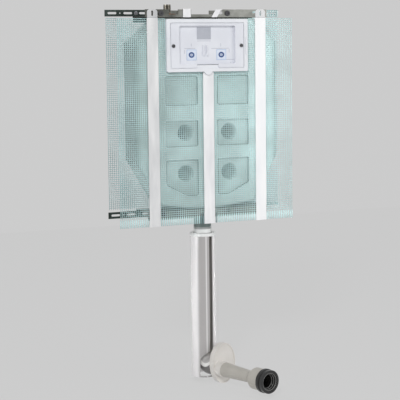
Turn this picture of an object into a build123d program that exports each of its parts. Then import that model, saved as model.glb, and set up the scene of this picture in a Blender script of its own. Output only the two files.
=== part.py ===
from build123d import *
import os
from math import cos, radians, sin

os.makedirs("parts", exist_ok=True)

# Concealed cistern on a wall frame. X runs right as seen from the front, the front faces -Y,
# Z is up. The origin lies on the wall plane, on the tank's centre line, level with the tank top.

# Wall frame
sheet = 1.5
rail_half_width = 170.0
rail_lip_top = 22.5
rail_lip_bottom = 2.5
rail_plate_z = 4.0
web_drop = 8.0
notch_half_width = 44.0
notch_web_height = 6.0
low_rail_lip = 22.0
low_rail_gap = 0.3
low_rail_hole_clearance = 3.0
arm_reach = 247.0
arm_inner = 120.0
arm_height = 17.0
arm_top = 24.0
low_arm_top = -496.5
arm_slot_length = 24.0
arm_slot_height = 5.5
arm_slot_pitch = 43.0
arm_slots = 3
arm_first_slot = 28.0
arm_hole_radius = 1.8
screw_radius = 2.5
screw_head_radius = 5.0
screw_head_height = 1.5
plate_tail_half_width = 148.0

# Front straps and their tabs
strap_width = 30.0
strap_spacing = 151.0
strap_drop = 530.0
centre_strap_x = 1.0
tab_height = 22.5
tab_tip_width = 28.0
tab_corner = 7.0
tab_slot_width = 5.0
tab_slot_length = 14.0

# Plaster nets
net_width = 490.0
net_height = 530.0
net_thickness = 1.2
net_rise = 24.0
net_rib = 6.0
net_columns = 16
net_rows = 17
net_clearance = 0.3
net_step_x = 118.0

# Tank
tank_half_width = 200.0
tank_top_half_width = 130.0
tank_shoulder_drop = 62.0
tank_flank_bottom = -359.0
tank_hip_half_width = 142.0
tank_hip_bottom = -457.0
tank_foot_half_width = 132.0
tank_foot_bottom = -478.0
tank_floor = -491.0
tank_rear = -5.5
tank_front = -86.0
tank_wall = 3.5
tank_corner = 12.0
tank_edge = 6.0
panel_inner = 27.0
panel_outer = 118.0
panel_depth = 4.0
panel_corner = 6.0
panel_rows = ((-146.0, -222.0), (-259.0, -328.0), (-360.0, -456.0))
panel_cut = 30.0
dimple_x = 61.5
dimple_heights = (-292.0, -397.0)
dimple_radius = 24.0
dimple_root_radius = 6.0
dimple_web = 3.0
dimple_wall = 2.0
neck_radius = 23.0
neck_bore = 20.0
neck_bottom = -542.5
pipe_y = -44.0

# Window frame and service cover
window_half_width = 113.5
window_x = -2.2
window_top = -2.0
window_height = 134.0
window_corner = 4.0
window_front = -97.0
window_opening_half_width = 82.0
window_opening_top = -16.5
window_opening_bottom = -119.0
rim_half_width = 103.0
rim_top = -11.0
rim_bottom = -127.5
rim_depth = 3.0
cover_gap = 1.5
cover_thickness = 2.5
pocket_half_width = 78.0
pocket_top = -19.0
pocket_bottom = -116.0
pocket_depth = 9.0
pocket_wall = 2.0
label_width = 39.0
label_height = 31.0
label_x = -9.0
label_top = -22.5
field_size = 27.0
field_x = (-44.0, 39.5)
field_z = -93.0
field_thickness = 0.8
clip_height = 26.0
clip_width = 5.0
clip_spacing = 10.0
tab_radius = 12.0
tab_rise = 4.0
latch_width = 60.0
latch_height = 12.0
quarter_screw_x = 95.0
quarter_screw_z = -70.0
quarter_screw_radius = 4.5
quarter_screw_shank = 3.0
frame_back = 4.0
rib_width = 2.0
rib_height = 1.5
rib_top = -49.0
rib_bottom = -92.0
tab_x = -1.0
tab_thickness = 4.0
clip_centre = -82.0
quarter_head = 2.5
shank_gap = 1.0
clips_x = -6.5
slot_half = 0.8

# Clips, lip screws and plug on the top rail
left_clip_x = -56.5
slant_x = 12.0
slant_width = 15.0
slant_lean = 12.5
clip_half = 10.5
clip_depth = 2.5
clip_top = 24.0
clip_foot = 10.0
lip_screw_places = (-127.3, 57.2)
lip_screw_z = 12.5
lip_screw_radius = 6.8
lip_screw_head = 3.0
lip_screw_socket = 2.4
plug_head_height = 13.0

# Inlet, stop valve and fill valve
inlet_bore = 6.0
collar_top = 12.0
collar_radius = 22.0
nipple_top = 36.0
nipple_radius = 9.2
nipple_flange = 3.0
tail_flange = 3.0
tail_flange_radius = 17.0
stop_bottom = -40.0
stop_radius = 14.0
spindle_z = -22.0
spindle_radius = 3.0
handle_length = 26.0
handle_thickness = 4.0
head_height = 20.0
head_radius = 16.0
column_radius = 9.0
column_foot = 4.0
foot_ledge = 5.0
float_travel = 12.0
float_height = 45.0
float_radius = 30.0
float_gap = 0.3
float_rod_radius = 2.0
lever_pivot_x = -84.0
lever_pivot_z = -50.0
lever_arm = 30.0
lever_pin_radius = 2.0
lever_thickness = 3.5
tip_radius = 2.5

# Flush levers and their bracket
pivot_y = -68.0
pivot_z = -62.0
pivot_radius = 3.0
ear_inner = 46.0
ear_thickness = 4.0
ear_margin = 12.0
ear_top = -9.0
ear_bar = 9.0
lever_inner = 12.0
lever_outer = 38.0
finger_inner = 14.0
finger_outer = 30.0
finger_arm = 24.0
finger_radius = 3.0
pad_drop = 40.0
pad_thickness = 4.0
yoke_width = 6.0
yoke_height = 4.0
yoke_root = 6.0

# Flush valve
gasket_thickness = 3.0
spigot_radius = 19.0
spigot_bore = 16.5
seat_flange = 4.0
seat_flange_radius = 31.0
seat_height = 6.0
seat_radius = 25.0
cage_top = -404.0
cage_ring = 5.0
cage_post_ring = 28.2
cage_post_radius = 2.5
soft_gap = 0.3
seal_thickness = 4.0
stem_radius = 11.0
stem_bore = 9.0
stem_flange = 3.0
stem_top = -84.0
sleeve_radius = 15.0
sleeve_bottom = -440.0
sleeve_top = -110.0
sleeve_arm_x = 12.0
sleeve_post_y = 3.2

# Outlet, flush pipe, bend and sleeve
collar_bottom = -558.5
collar_step = 0.3
nut_bottom = -566.6
nut_radius = 33.5
nut_grips = 24
grip_radius = 1.2
pipe_radius = 25.0
pipe_bore = 22.0
bend_turn = 16.0
bend_z = -914.0
bend_radius = 28.0
bend_outer = 22.6
bend_socket = 6.0
bend_end = 50.0
shell_radius = 33.2
shell_wall = 2.5
shell_lip = 3.0
sleeve_foot = -943.0
foot_rim = 3.4
slit_width = 11.0
gate_half_width = 27.5
gate_shoulder = 12.0
gate_top = 40.0

# Rosette, connecting tube and pan seal, measured out along the branch
rosette_start = 52.0
rosette_depth = 14.0
rosette_wall = 2.5
rosette_bead = 3.0
rosette_half_width = 38.0
rosette_half_height = 54.0
rosette_shift_x = 14.0
rosette_shift_z = 12.0
hub_end = 89.0
hub_radius = 20.8
tube_start = 32.0
tube_radius = 19.2
tube_end_radius = 15.5
tube_wall = 2.2
flare_start = 188.0
cup_start = 208.0
cup_end = 240.0
cup_radius = 28.0
seal_start = 214.0
seal_inner = 19.0
seal_mouth = 24.0
seal_rear_radius = 31.0
seal_neck_radius = 26.5
seal_front_radius = 30.0
seal_ring = 7.0
seal_groove = 6.0
seal_end = 261.0

# Fits
running_clearance = 0.08
cut_over = 1.0


def ring(z, height, outer, inner=0, centre=(0, 0), mode=Mode.ADD):
    """Add or cut an upright round piece, bored through when inner is given."""
    with BuildSketch(Plane.XY.offset(z)) as outline:
        with Locations(centre):
            Circle(outer)
            if inner:
                Circle(inner, mode=Mode.SUBTRACT)
    extrude(outline.sketch, amount=height, mode=mode)


def block(xs, ys, zs, mode=Mode.ADD):
    """Add or cut a block between the low and high values given for each axis."""
    with BuildSketch(Plane.XY.offset(min(zs))) as outline:
        with Locations(((xs[0] + xs[1]) / 2, (ys[0] + ys[1]) / 2)):
            Rectangle(abs(xs[1] - xs[0]), abs(ys[1] - ys[0]))
    extrude(outline.sketch, amount=max(zs) - min(zs), mode=mode)


def front_plane(y):
    """Give a sketch plane that faces forwards, with x to the right and z up."""
    return Plane(origin=(0, y, 0), x_dir=(1, 0, 0), z_dir=(0, -1, 0))


def rod(y, length, radius, centre, mode=Mode.ADD):
    """Add or cut a round piece that runs forwards from y."""
    with BuildSketch(front_plane(y)) as outline:
        with Locations(centre):
            Circle(radius)
    extrude(outline.sketch, amount=length, mode=mode)


def window_span(half_width):
    """Give the low and high x of a piece centred on the window."""
    return (window_x - half_width, window_x + half_width)


def plate(y, thickness, xs, zs, mode=Mode.ADD, corner=0):
    """Add or cut an upright plate whose rear face is at y and which runs forwards."""
    with BuildSketch(front_plane(y)) as outline:
        with Locations(((xs[0] + xs[1]) / 2, (zs[0] + zs[1]) / 2)):
            if corner:
                RectangleRounded(abs(xs[1] - xs[0]), abs(zs[1] - zs[0]), corner)
            else:
                Rectangle(abs(xs[1] - xs[0]), abs(zs[1] - zs[0]))
    extrude(outline.sketch, amount=thickness, mode=mode)


# Places that follow from the sizes above
first_slot_x = arm_reach - arm_first_slot / 2 - arm_slot_length / 4
last_slot_x = first_slot_x - arm_slot_pitch * (arm_slots - 1)
screw_x = last_slot_x + arm_slot_pitch / 2
arm_rear = -sheet
rear_net_rear = arm_rear - sheet - net_clearance
front_net_rear = tank_front - net_thickness
strap_rear = front_net_rear - net_thickness - net_clearance
top_lip_rear = strap_rear + sheet
strap_rear_gap = top_lip_rear + sheet - strap_rear
low_plate_top = tank_floor - low_rail_gap
low_lip_rear = front_net_rear + net_clearance + sheet
strap_half = strap_width / 2
window_bottom = window_top - window_height
window_cut = window_half_width - window_x + net_clearance
low_lip_bottom = low_plate_top - low_rail_lip
inlet_x = -92.0
inlet_y = pipe_y
boss_radius = 21.0
boss_gap = 0.3
plug_x = 60.0
plug_radius = 9.0

plate_tail_front = rear_net_rear - net_thickness - net_clearance


def trim_plate_tail(bottom):
    """Cut the ends of a rail's plate back where the rear net runs past them."""
    for side in (-1, 1):
        block((side * plate_tail_half_width, side * (rail_half_width + cut_over)), (plate_tail_front, -sheet),
              (bottom, bottom + sheet), Mode.SUBTRACT)


# Top rail: a channel that ties the wall side to the straps
with BuildPart() as top_rail:
    block((-rail_half_width, rail_half_width), (top_lip_rear - sheet, 0),
          (rail_plate_z, rail_plate_z + sheet))
    trim_plate_tail(rail_plate_z)
    plate(0, sheet, (-rail_half_width, rail_half_width), (-web_drop, rail_lip_top))
    plate(top_lip_rear, sheet, (-rail_half_width, rail_half_width), (rail_lip_bottom, rail_lip_top))
    notch_floor = rail_plate_z + notch_web_height
    notch_top = rail_lip_top + cut_over
    plate(cut_over, cut_over - strap_rear + sheet, (-notch_half_width, notch_half_width),
          (notch_floor, notch_top), Mode.SUBTRACT)
    nipple_slot = nipple_radius + nipple_flange
    plate(top_lip_rear + cut_over, sheet + cut_over + cut_over,
          (inlet_x - nipple_slot, inlet_x + nipple_slot),
          (notch_floor, notch_top), Mode.SUBTRACT)
    ring(rail_plate_z - cut_over, sheet + cut_over + cut_over, boss_radius / 2 + sheet, 0,
         (inlet_x, inlet_y), Mode.SUBTRACT)
    ring(rail_plate_z - cut_over, sheet + cut_over + cut_over, plug_radius + sheet, 0,
         (plug_x, inlet_y), Mode.SUBTRACT)
    for side in (-1, 1):
        rod(cut_over, sheet + cut_over + cut_over, screw_radius, (side * screw_x, arm_top - arm_height / 2),
            Mode.SUBTRACT)
        with BuildSketch(front_plane(cut_over)) as openings:
            with Locations((side * last_slot_x, arm_top - arm_height / 2)):
                SlotOverall(arm_slot_length, arm_slot_height)
            with Locations((side * strap_spacing, tab_height / 2 + sheet)):
                SlotOverall(tab_slot_length, tab_slot_width, rotation=90)
        extrude(openings.sketch, amount=cut_over - strap_rear + sheet, mode=Mode.SUBTRACT)
    for x in lip_screw_places:
        rod(top_lip_rear + cut_over, sheet + cut_over + cut_over, screw_radius, (x, lip_screw_z),
            Mode.SUBTRACT)
top_rail.part.label = "top_rail"
export_step(top_rail.part, "parts/top_rail.step")

# Bottom rail: the tank stands on its plate, and its neck goes through it
with BuildPart() as bottom_rail:
    block((-rail_half_width, rail_half_width), (low_lip_rear - sheet, 0),
          (low_plate_top - sheet, low_plate_top))
    trim_plate_tail(low_plate_top - sheet)
    plate(0, sheet, (-rail_half_width, rail_half_width), (low_lip_bottom, low_plate_top))
    plate(low_lip_rear, sheet, (-rail_half_width, rail_half_width), (low_lip_bottom, low_plate_top))
    ring(low_plate_top - sheet - cut_over, sheet + cut_over + cut_over,
         neck_radius + low_rail_hole_clearance, 0, (0, pipe_y), Mode.SUBTRACT)
    for side in (-1, 1):
        rod(cut_over, sheet + cut_over + cut_over, screw_radius,
            (side * screw_x, low_arm_top - arm_height / 2), Mode.SUBTRACT)
        with BuildSketch(front_plane(cut_over)) as low_slot:
            with Locations((side * last_slot_x, low_arm_top - arm_height / 2)):
                SlotOverall(arm_slot_length, arm_slot_height)
        extrude(low_slot.sketch, amount=sheet + cut_over + cut_over, mode=Mode.SUBTRACT)
bottom_rail.part.label = "bottom_rail"
export_step(bottom_rail.part, "parts/bottom_rail.step")

# Wall arms: strips with long slots and small holes in turn
arm_places = {
    "top_left_arm": (-1, arm_top),
    "top_right_arm": (1, arm_top),
    "bottom_left_arm": (-1, low_arm_top),
    "bottom_right_arm": (1, low_arm_top),
}
for name, (side, top) in arm_places.items():
    with BuildPart() as arm:
        plate(arm_rear, sheet, (side * arm_inner, side * arm_reach), (top - arm_height, top))
        middle = top - arm_height / 2
        with BuildSketch(front_plane(arm_rear + cut_over)) as slots:
            for index in range(arm_slots):
                with Locations((side * (first_slot_x - index * arm_slot_pitch), middle)):
                    SlotOverall(arm_slot_length, arm_slot_height)
            with Locations((side * (first_slot_x - arm_slot_pitch / 2), middle)):
                Circle(arm_hole_radius)
            with Locations((side * screw_x, middle)):
                Circle(screw_radius)
        extrude(slots.sketch, amount=sheet + cut_over + cut_over, mode=Mode.SUBTRACT)
    arm.part.label = name
    export_step(arm.part, f"parts/{name}.step")

# Rail screws: one at each arm, headed in front of the arm
with BuildPart() as rail_screws:
    for side in (-1, 1):
        for top in (arm_top, low_arm_top):
            centre = (side * screw_x, top - arm_height / 2)
            rod(0, sheet + sheet, screw_radius, centre)
            rod(arm_rear - sheet, screw_head_height, screw_head_radius, centre)
rail_screws.part.label = "rail_screws"
export_step(rail_screws.part, "parts/rail_screws.step")

# Straps: flat strips in front of the front net, with a slotted tab that lies on the rail's lip
for name, side in (("left_strap", -1), ("right_strap", 1)):
    with BuildPart() as strap:
        x = side * strap_spacing
        plate(strap_rear, sheet, (x - strap_half, x + strap_half), (-strap_drop, 0))
        with BuildSketch(front_plane(strap_rear)) as tab:
            with Locations((x, (tab_height - tab_corner) / 2)):
                RectangleRounded(tab_tip_width, tab_height + tab_corner, tab_corner)
            with Locations((x, tab_height / 2 + sheet)):
                SlotOverall(tab_slot_length, tab_slot_width, rotation=90, mode=Mode.SUBTRACT)
        extrude(tab.sketch, amount=sheet)
    strap.part.label = name
    export_step(strap.part, f"parts/{name}.step")

with BuildPart() as centre_strap:
    plate(strap_rear - sheet, sheet, (centre_strap_x - strap_half, centre_strap_x + strap_half),
          (-strap_drop, window_bottom - sheet))
    plate(strap_rear, sheet, (centre_strap_x - strap_half, centre_strap_x + strap_half),
          (-strap_drop, -strap_drop + strap_width))
centre_strap.part.label = "centre_strap"
export_step(centre_strap.part, "parts/centre_strap.step")

# Lip screws: two dark socket screws on the top rail's front lip
with BuildPart() as lip_screws:
    for x in lip_screw_places:
        rod(top_lip_rear, sheet, screw_radius - running_clearance, (x, lip_screw_z))
        rod(strap_rear, lip_screw_head, lip_screw_radius, (x, lip_screw_z))
        rod(strap_rear - lip_screw_head / 2, lip_screw_head, lip_screw_socket, (x, lip_screw_z),
            Mode.SUBTRACT)
lip_screws.part.label = "lip_screws"
export_step(lip_screws.part, "parts/lip_screws.step")


def net_face(y, top, width, height, hole):
    """Build a net as one face with a grid of gaps, and leave out the gaps near a hole."""
    pitch_x = width / net_columns
    pitch_z = height / net_rows
    with BuildSketch(front_plane(y)) as face:
        with Locations((0, top - height / 2)):
            Rectangle(width, height)
        if hole:
            with Locations((0, (hole[1] + hole[2]) / 2)):
                Rectangle(hole[0] + hole[0], hole[1] - hole[2], mode=Mode.SUBTRACT)
        gaps = []
        for column in range(net_columns):
            for row in range(net_rows):
                x = -width / 2 + (column + 1 / 2) * pitch_x
                z = top - (row + 1 / 2) * pitch_z
                reach_x = abs(x) - pitch_x / 2
                if hole and reach_x < hole[0] and z - pitch_z / 2 < hole[1] and z + pitch_z / 2 > hole[2]:
                    continue
                gaps.append((x, z))
        with Locations(*gaps):
            Rectangle(pitch_x - net_rib, pitch_z - net_rib, mode=Mode.SUBTRACT)
    return face.sketch


# Rear net: it hangs on the rails' plates, covers the right arms and leaves the left arms free
with BuildPart() as rear_net:
    extrude(net_face(rear_net_rear, net_rise, net_width, net_height, ()), amount=net_thickness)
    cut_rear = rear_net_rear + cut_over
    cut_depth = net_thickness + cut_over + cut_over
    for plate_bottom in (rail_plate_z, low_plate_top - sheet):
        plate(cut_rear, cut_depth, (-plate_tail_half_width - net_clearance,
                                    plate_tail_half_width + net_clearance),
              (plate_bottom - net_clearance, plate_bottom + sheet + net_clearance), Mode.SUBTRACT)
    for top in (arm_top, low_arm_top):
        rod(cut_rear, cut_depth, screw_head_radius + net_clearance, (screw_x, top - arm_height / 2),
            Mode.SUBTRACT)
    plate(cut_rear, cut_depth, (-net_width / 2 - cut_over, net_step_x),
          (rail_plate_z - net_clearance, net_rise + cut_over), Mode.SUBTRACT)
    plate(cut_rear, cut_depth, (-net_width / 2 - cut_over, -net_step_x),
          (net_rise - net_height - cut_over, low_plate_top + net_clearance), Mode.SUBTRACT)
rear_net.part.label = "rear_net"
export_step(rear_net.part, "parts/rear_net.step")

# Front net: a sheet on each side of the window frame and one under it
with BuildPart() as front_net:
    extrude(net_face(front_net_rear, 0, net_width, net_height,
                     (window_cut, cut_over, window_bottom - net_clearance)),
            amount=net_thickness)
    for side in (-1, 1):
        plate(front_net_rear + cut_over, net_thickness + cut_over + cut_over,
              (side * window_cut, side * (window_cut + net_clearance)), (-net_height - cut_over, cut_over),
              Mode.SUBTRACT)
front_net.part.label = "front_net"
export_step(front_net.part, "parts/front_net.step")

# Tank outline, seen from the front
half_outline = (
    (tank_top_half_width, 0),
    (tank_half_width, -tank_shoulder_drop),
    (tank_half_width, tank_flank_bottom),
    (tank_hip_half_width, tank_hip_bottom),
    (tank_foot_half_width, tank_foot_bottom),
    (neck_radius + tank_corner, tank_floor),
)


def tank_body(inset):
    """Build the tank's outer body, or the room inside it when inset by its wall."""
    with BuildPart() as body:
        with BuildSketch(front_plane(tank_rear - inset)) as outline:
            with BuildLine():
                points = [(x, z) for x, z in half_outline]
                Polyline(*points, *[(-x, z) for x, z in reversed(points)], close=True)
            make_face()
            fillet(outline.vertices(), tank_corner)
            if inset:
                offset(amount=-inset)
        extrude(outline.sketch, amount=tank_rear - tank_front - inset - inset)
        ends = body.faces().sort_by(Axis.Y)
        fillet([*ends[0].edges(), *ends[-1].edges()], tank_edge - inset / 2)
    return body.part


def dimples(wall):
    """Build the tie-through cones, thickened by a wall for the room inside."""
    middle = (tank_front + tank_rear) / 2
    depth = (tank_rear - tank_front - dimple_web) / 2 + wall
    with BuildPart() as cones:
        for side in (-1, 1):
            for z in dimple_heights:
                for start, turn in ((tank_front, 1), (tank_rear, -1)):
                    with BuildSketch(front_plane(start)) as mouth:
                        with Locations((side * dimple_x, z)):
                            Circle(dimple_radius + wall)
                    with BuildSketch(front_plane(start + turn * depth)) as root:
                        with Locations((side * dimple_x, z)):
                            Circle(dimple_root_radius + wall)
                    loft(sections=[mouth.sketch, root.sketch])
    return cones.part


def panels(grow):
    """Build the recesses of the front wall, grown all round for the wall behind them."""
    with BuildPart() as recesses:
        for top, bottom in panel_rows:
            for side in (-1, 1):
                inner = side * (panel_inner - grow)
                outer = side * (panel_outer + grow)
                low = bottom - grow
                with BuildSketch(front_plane(tank_front + panel_depth + grow)) as outline:
                    with BuildLine():
                        if bottom == panel_rows[-1][-1]:
                            Polyline((inner, top + grow), (outer, top + grow), (outer, low + panel_cut),
                                     (side * (panel_outer + grow - panel_cut - panel_cut), low),
                                     (inner, low), close=True)
                        else:
                            Polyline((inner, top + grow), (outer, top + grow), (outer, low),
                                     (inner, low), close=True)
                    make_face()
                    fillet(outline.vertices(), panel_corner)
                extrude(outline.sketch, amount=panel_depth + grow + cut_over)
    return recesses.part


with BuildPart() as tank_room:
    add(tank_body(tank_wall))
    add(dimples(dimple_wall), mode=Mode.SUBTRACT)
    add(panels(tank_wall), mode=Mode.SUBTRACT)

with BuildPart() as tank_shell:
    add(tank_body(0))
    ring(0, rail_plate_z - boss_gap, boss_radius, 0, (inlet_x, inlet_y))
    ring(0, rail_plate_z - boss_gap, plug_radius + sheet + sheet, 0, (plug_x, inlet_y))
    ring(neck_bottom, tank_floor - neck_bottom + tank_wall / 2, neck_radius, 0, (0, pipe_y))
    add(panels(0), mode=Mode.SUBTRACT)
    add(dimples(0), mode=Mode.SUBTRACT)
    add(tank_room.part, mode=Mode.SUBTRACT)
    ring(neck_bottom - cut_over, tank_floor - neck_bottom + tank_wall + cut_over + cut_over, neck_bore, 0,
         (0, pipe_y), Mode.SUBTRACT)
    plate(tank_front + tank_wall + cut_over, tank_wall + cut_over + cut_over,
          window_span(window_opening_half_width),
          (window_opening_bottom, window_opening_top), Mode.SUBTRACT, panel_corner)
    ring(-tank_wall - cut_over, tank_wall + rail_plate_z + cut_over + cut_over, boss_radius / 2, 0,
         (inlet_x, inlet_y), Mode.SUBTRACT)
    ring(-tank_wall - cut_over, tank_wall + rail_plate_z + cut_over + cut_over, plug_radius, 0,
         (plug_x, inlet_y), Mode.SUBTRACT)
tank_shell.part.label = "tank_shell"
export_step(tank_shell.part, "parts/tank_shell.step")

# Window frame: a raised surround with a sunk rim for the cover
with BuildPart() as window_frame:
    depth = tank_front - window_front
    plate(tank_front, depth, window_span(window_half_width), (window_bottom, window_top),
          corner=window_corner)
    plate(window_front + rim_depth, rim_depth + cut_over, window_span(rim_half_width), (rim_bottom, rim_top),
          Mode.SUBTRACT, rim_depth)
    plate(tank_front + cut_over, depth + cut_over, window_span(window_opening_half_width),
          (window_opening_bottom, window_opening_top), Mode.SUBTRACT, panel_corner)
    for side in (-1, 1):
        rod(tank_front - frame_back, depth, quarter_screw_shank + running_clearance,
            (window_x + side * quarter_screw_x, quarter_screw_z), Mode.SUBTRACT)
        rib_x = window_x + side * (rim_half_width + window_half_width) / 2
        plate(window_front, rib_height, (rib_x - rib_width, rib_x + rib_width), (rib_bottom, rib_top))
    rod(window_front + tab_thickness, tab_thickness, tab_radius, (tab_x, window_bottom + tab_rise))
    plate(window_front + rim_depth, rim_depth + cut_over, window_span(rim_half_width), (rim_bottom, rim_top),
          Mode.SUBTRACT, rim_depth)
window_frame.part.label = "window_frame"
export_step(window_frame.part, "parts/window_frame.step")

# Service cover: a flange in the rim with a pocket, closed at the back
cover_rear = window_front + rim_depth
cover_front = cover_rear - cover_thickness
pocket_floor = cover_front + pocket_depth
with BuildPart() as service_cover:
    plate(cover_rear, cover_thickness, window_span(rim_half_width - cover_gap),
          (rim_bottom + cover_gap, rim_top - cover_gap), corner=rim_depth)
    plate(pocket_floor + pocket_wall, pocket_depth, window_span(pocket_half_width + pocket_wall),
          (pocket_bottom - pocket_wall, pocket_top + pocket_wall), corner=panel_corner)
    plate(pocket_floor, pocket_depth + cut_over, window_span(pocket_half_width),
          (pocket_bottom, pocket_top), Mode.SUBTRACT, panel_corner - pocket_wall)
    plate(cover_rear + cut_over, cover_thickness + cut_over + cut_over, window_span(latch_width / 2),
          (rim_bottom, rim_bottom + latch_height - pocket_wall), Mode.SUBTRACT)
    for side in (-1, 1):
        rod(cover_rear + cut_over, cover_thickness + cut_over + cut_over,
            quarter_screw_shank + running_clearance,
            (window_x + side * quarter_screw_x, quarter_screw_z), Mode.SUBTRACT)
service_cover.part.label = "service_cover"
export_step(service_cover.part, "parts/service_cover.step")

# Quarter-turn screws: a slotted head in front of the cover, a shank in the frame
for name, side in (("cover_screw_left", -1), ("cover_screw_right", 1)):
    with BuildPart() as quarter_screw:
        centre = (window_x + side * quarter_screw_x, quarter_screw_z)
        shank_rear = tank_front - frame_back - shank_gap
        rod(shank_rear, shank_rear - cover_front, quarter_screw_shank, centre)
        rod(cover_front, quarter_head, quarter_screw_radius, centre)
        plate(cover_front - quarter_head / 2, quarter_head,
              (centre[0] - quarter_screw_radius, centre[0] + quarter_screw_radius),
              (centre[1] - slot_half, centre[1] + slot_half), Mode.SUBTRACT)
    quarter_screw.part.label = name
    export_step(quarter_screw.part, f"parts/{name}.step")

# Fields and clips on the pocket floor
with BuildPart() as cover_label:
    plate(pocket_floor, field_thickness, (label_x - label_width / 2, label_x + label_width / 2),
          (label_top - label_height, label_top))
cover_label.part.label = "cover_label"
export_step(cover_label.part, "parts/cover_label.step")

with BuildPart() as cover_fields:
    for x in field_x:
        plate(pocket_floor, field_thickness, (x - field_size / 2, x + field_size / 2),
              (field_z - field_size / 2, field_z + field_size / 2))
cover_fields.part.label = "cover_fields"
export_step(cover_fields.part, "parts/cover_fields.step")

with BuildPart() as cover_clips:
    for side in (-1, 1):
        x = clips_x + side * clip_spacing / 2
        plate(pocket_floor, clip_width, (x - clip_width / 4, x + clip_width / 4),
              (clip_centre - clip_height / 2, clip_centre + clip_height / 2))
        plate(pocket_floor - clip_width + clip_width / 4, clip_width / 4,
              (x - clip_width / 2, x + clip_width / 2),
              (clip_centre - clip_height / 2, clip_centre - clip_height / 4))
cover_clips.part.label = "cover_clips"
export_step(cover_clips.part, "parts/cover_clips.step")

# Clips and plug on the top rail
rail_top = rail_plate_z + sheet
with BuildPart() as left_clip:
    clip_span = (left_clip_x - clip_half, left_clip_x + clip_half)
    plate(strap_rear, clip_depth, clip_span, (rail_lip_bottom, clip_top))
    plate(top_lip_rear + sheet, strap_rear_gap + clip_depth, clip_span, (rail_lip_top, clip_top))
    plate(top_lip_rear + sheet, sheet, clip_span, (clip_foot, clip_top))
left_clip.part.label = "left_clip"
export_step(left_clip.part, "parts/left_clip.step")

with BuildPart() as slanted_clip:
    with BuildSketch(front_plane(strap_rear)) as slant:
        with BuildLine():
            Polyline((slant_x, rail_lip_bottom), (slant_x + slant_width, rail_lip_bottom),
                     (slant_x + slant_width + slant_lean, rail_lip_top),
                     (slant_x + slant_lean, rail_lip_top), close=True)
        make_face()
    extrude(slant.sketch, amount=clip_depth)
slanted_clip.part.label = "slanted_clip"
export_step(slanted_clip.part, "parts/slanted_clip.step")

with BuildPart() as plug_screw:
    ring(-tank_wall, tank_wall + rail_top, plug_radius - running_clearance, 0, (plug_x, inlet_y))
    ring(rail_top, plug_head_height, plug_radius + sheet + sheet, 0, (plug_x, inlet_y))
    block((plug_x - plug_radius, plug_x + plug_radius), (inlet_y - sheet, inlet_y + sheet),
          (rail_top + plug_head_height - sheet, rail_top + plug_head_height + cut_over), Mode.SUBTRACT)
plug_screw.part.label = "plug_screw"
export_step(plug_screw.part, "parts/plug_screw.step")

# Inlet: a tail through the tank top with a stop valve under it, a collar and a nipple above
inlet = (inlet_x, inlet_y)
tail_radius = boss_radius / 2 - running_clearance
with BuildPart() as stop_valve_body:
    ring(-tank_wall, collar_top + tank_wall, tail_radius, inlet_bore, inlet)
    ring(-tank_wall - tail_flange, tail_flange, tail_flange_radius, inlet_bore, inlet)
    ring(stop_bottom, -stop_bottom - tank_wall - tail_flange, stop_radius, inlet_bore, inlet)
    rod(inlet_y - inlet_bore, stop_radius, spindle_radius + sheet, (inlet_x, spindle_z))
    rod(inlet_y - inlet_bore - cut_over, stop_radius, spindle_radius + running_clearance,
        (inlet_x, spindle_z),
        Mode.SUBTRACT)
stop_valve_body.part.label = "stop_valve_body"
export_step(stop_valve_body.part, "parts/stop_valve_body.step")

with BuildPart() as stop_handle:
    spindle_rear = inlet_y - inlet_bore - cut_over - running_clearance
    handle_rear = inlet_y - inlet_bore - stop_radius - cut_over
    rod(spindle_rear, spindle_rear - handle_rear, spindle_radius, (inlet_x, spindle_z))
    rod(handle_rear, handle_thickness, spindle_radius + sheet, (inlet_x, spindle_z))
    plate(handle_rear, handle_thickness, (inlet_x - handle_length / 2, inlet_x + handle_length / 2),
          (spindle_z - spindle_radius, spindle_z + spindle_radius), corner=sheet)
stop_handle.part.label = "stop_handle"
export_step(stop_handle.part, "parts/stop_handle.step")

with BuildPart() as inlet_collar:
    ring(rail_top, collar_top - rail_top, collar_radius, boss_radius / 2, inlet)
inlet_collar.part.label = "inlet_collar"
export_step(inlet_collar.part, "parts/inlet_collar.step")

with BuildPart() as inlet_nipple:
    ring(collar_top, nipple_top - collar_top, nipple_radius, inlet_bore, inlet)
    ring(collar_top, nipple_flange, nipple_radius + sheet, inlet_bore, inlet)
inlet_nipple.part.label = "inlet_nipple"
export_step(inlet_nipple.part, "parts/inlet_nipple.step")

# Fill valve under the stop valve, with its float on the column
float_low = stop_bottom - head_height - float_travel - float_height - float_gap
column_bottom = float_low - float_gap - column_foot
with BuildPart() as fill_valve_body:
    ring(stop_bottom - head_height, head_height, head_radius, 0, inlet)
    ring(column_bottom, stop_bottom - head_height - column_bottom, column_radius, 0, inlet)
    ring(column_bottom, column_foot, column_radius + foot_ledge, 0, inlet)
    rod(inlet_y - head_radius / 2, head_radius / 2 + lever_thickness + sheet, lever_pin_radius,
        (lever_pivot_x, lever_pivot_z))
fill_valve_body.part.label = "fill_valve_body"
export_step(fill_valve_body.part, "parts/fill_valve_body.step")

rod_place = (lever_pivot_x - lever_arm, inlet_y - head_radius - lever_thickness / 2)
with BuildPart() as fill_float:
    ring(float_low, float_height, float_radius, column_radius + running_clearance, inlet)
    ring(float_low + float_height, lever_pivot_z - tip_radius - float_gap - float_low - float_height,
         float_rod_radius, 0, rod_place)
fill_float.part.label = "fill_float"
export_step(fill_float.part, "parts/fill_float.step")

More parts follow.
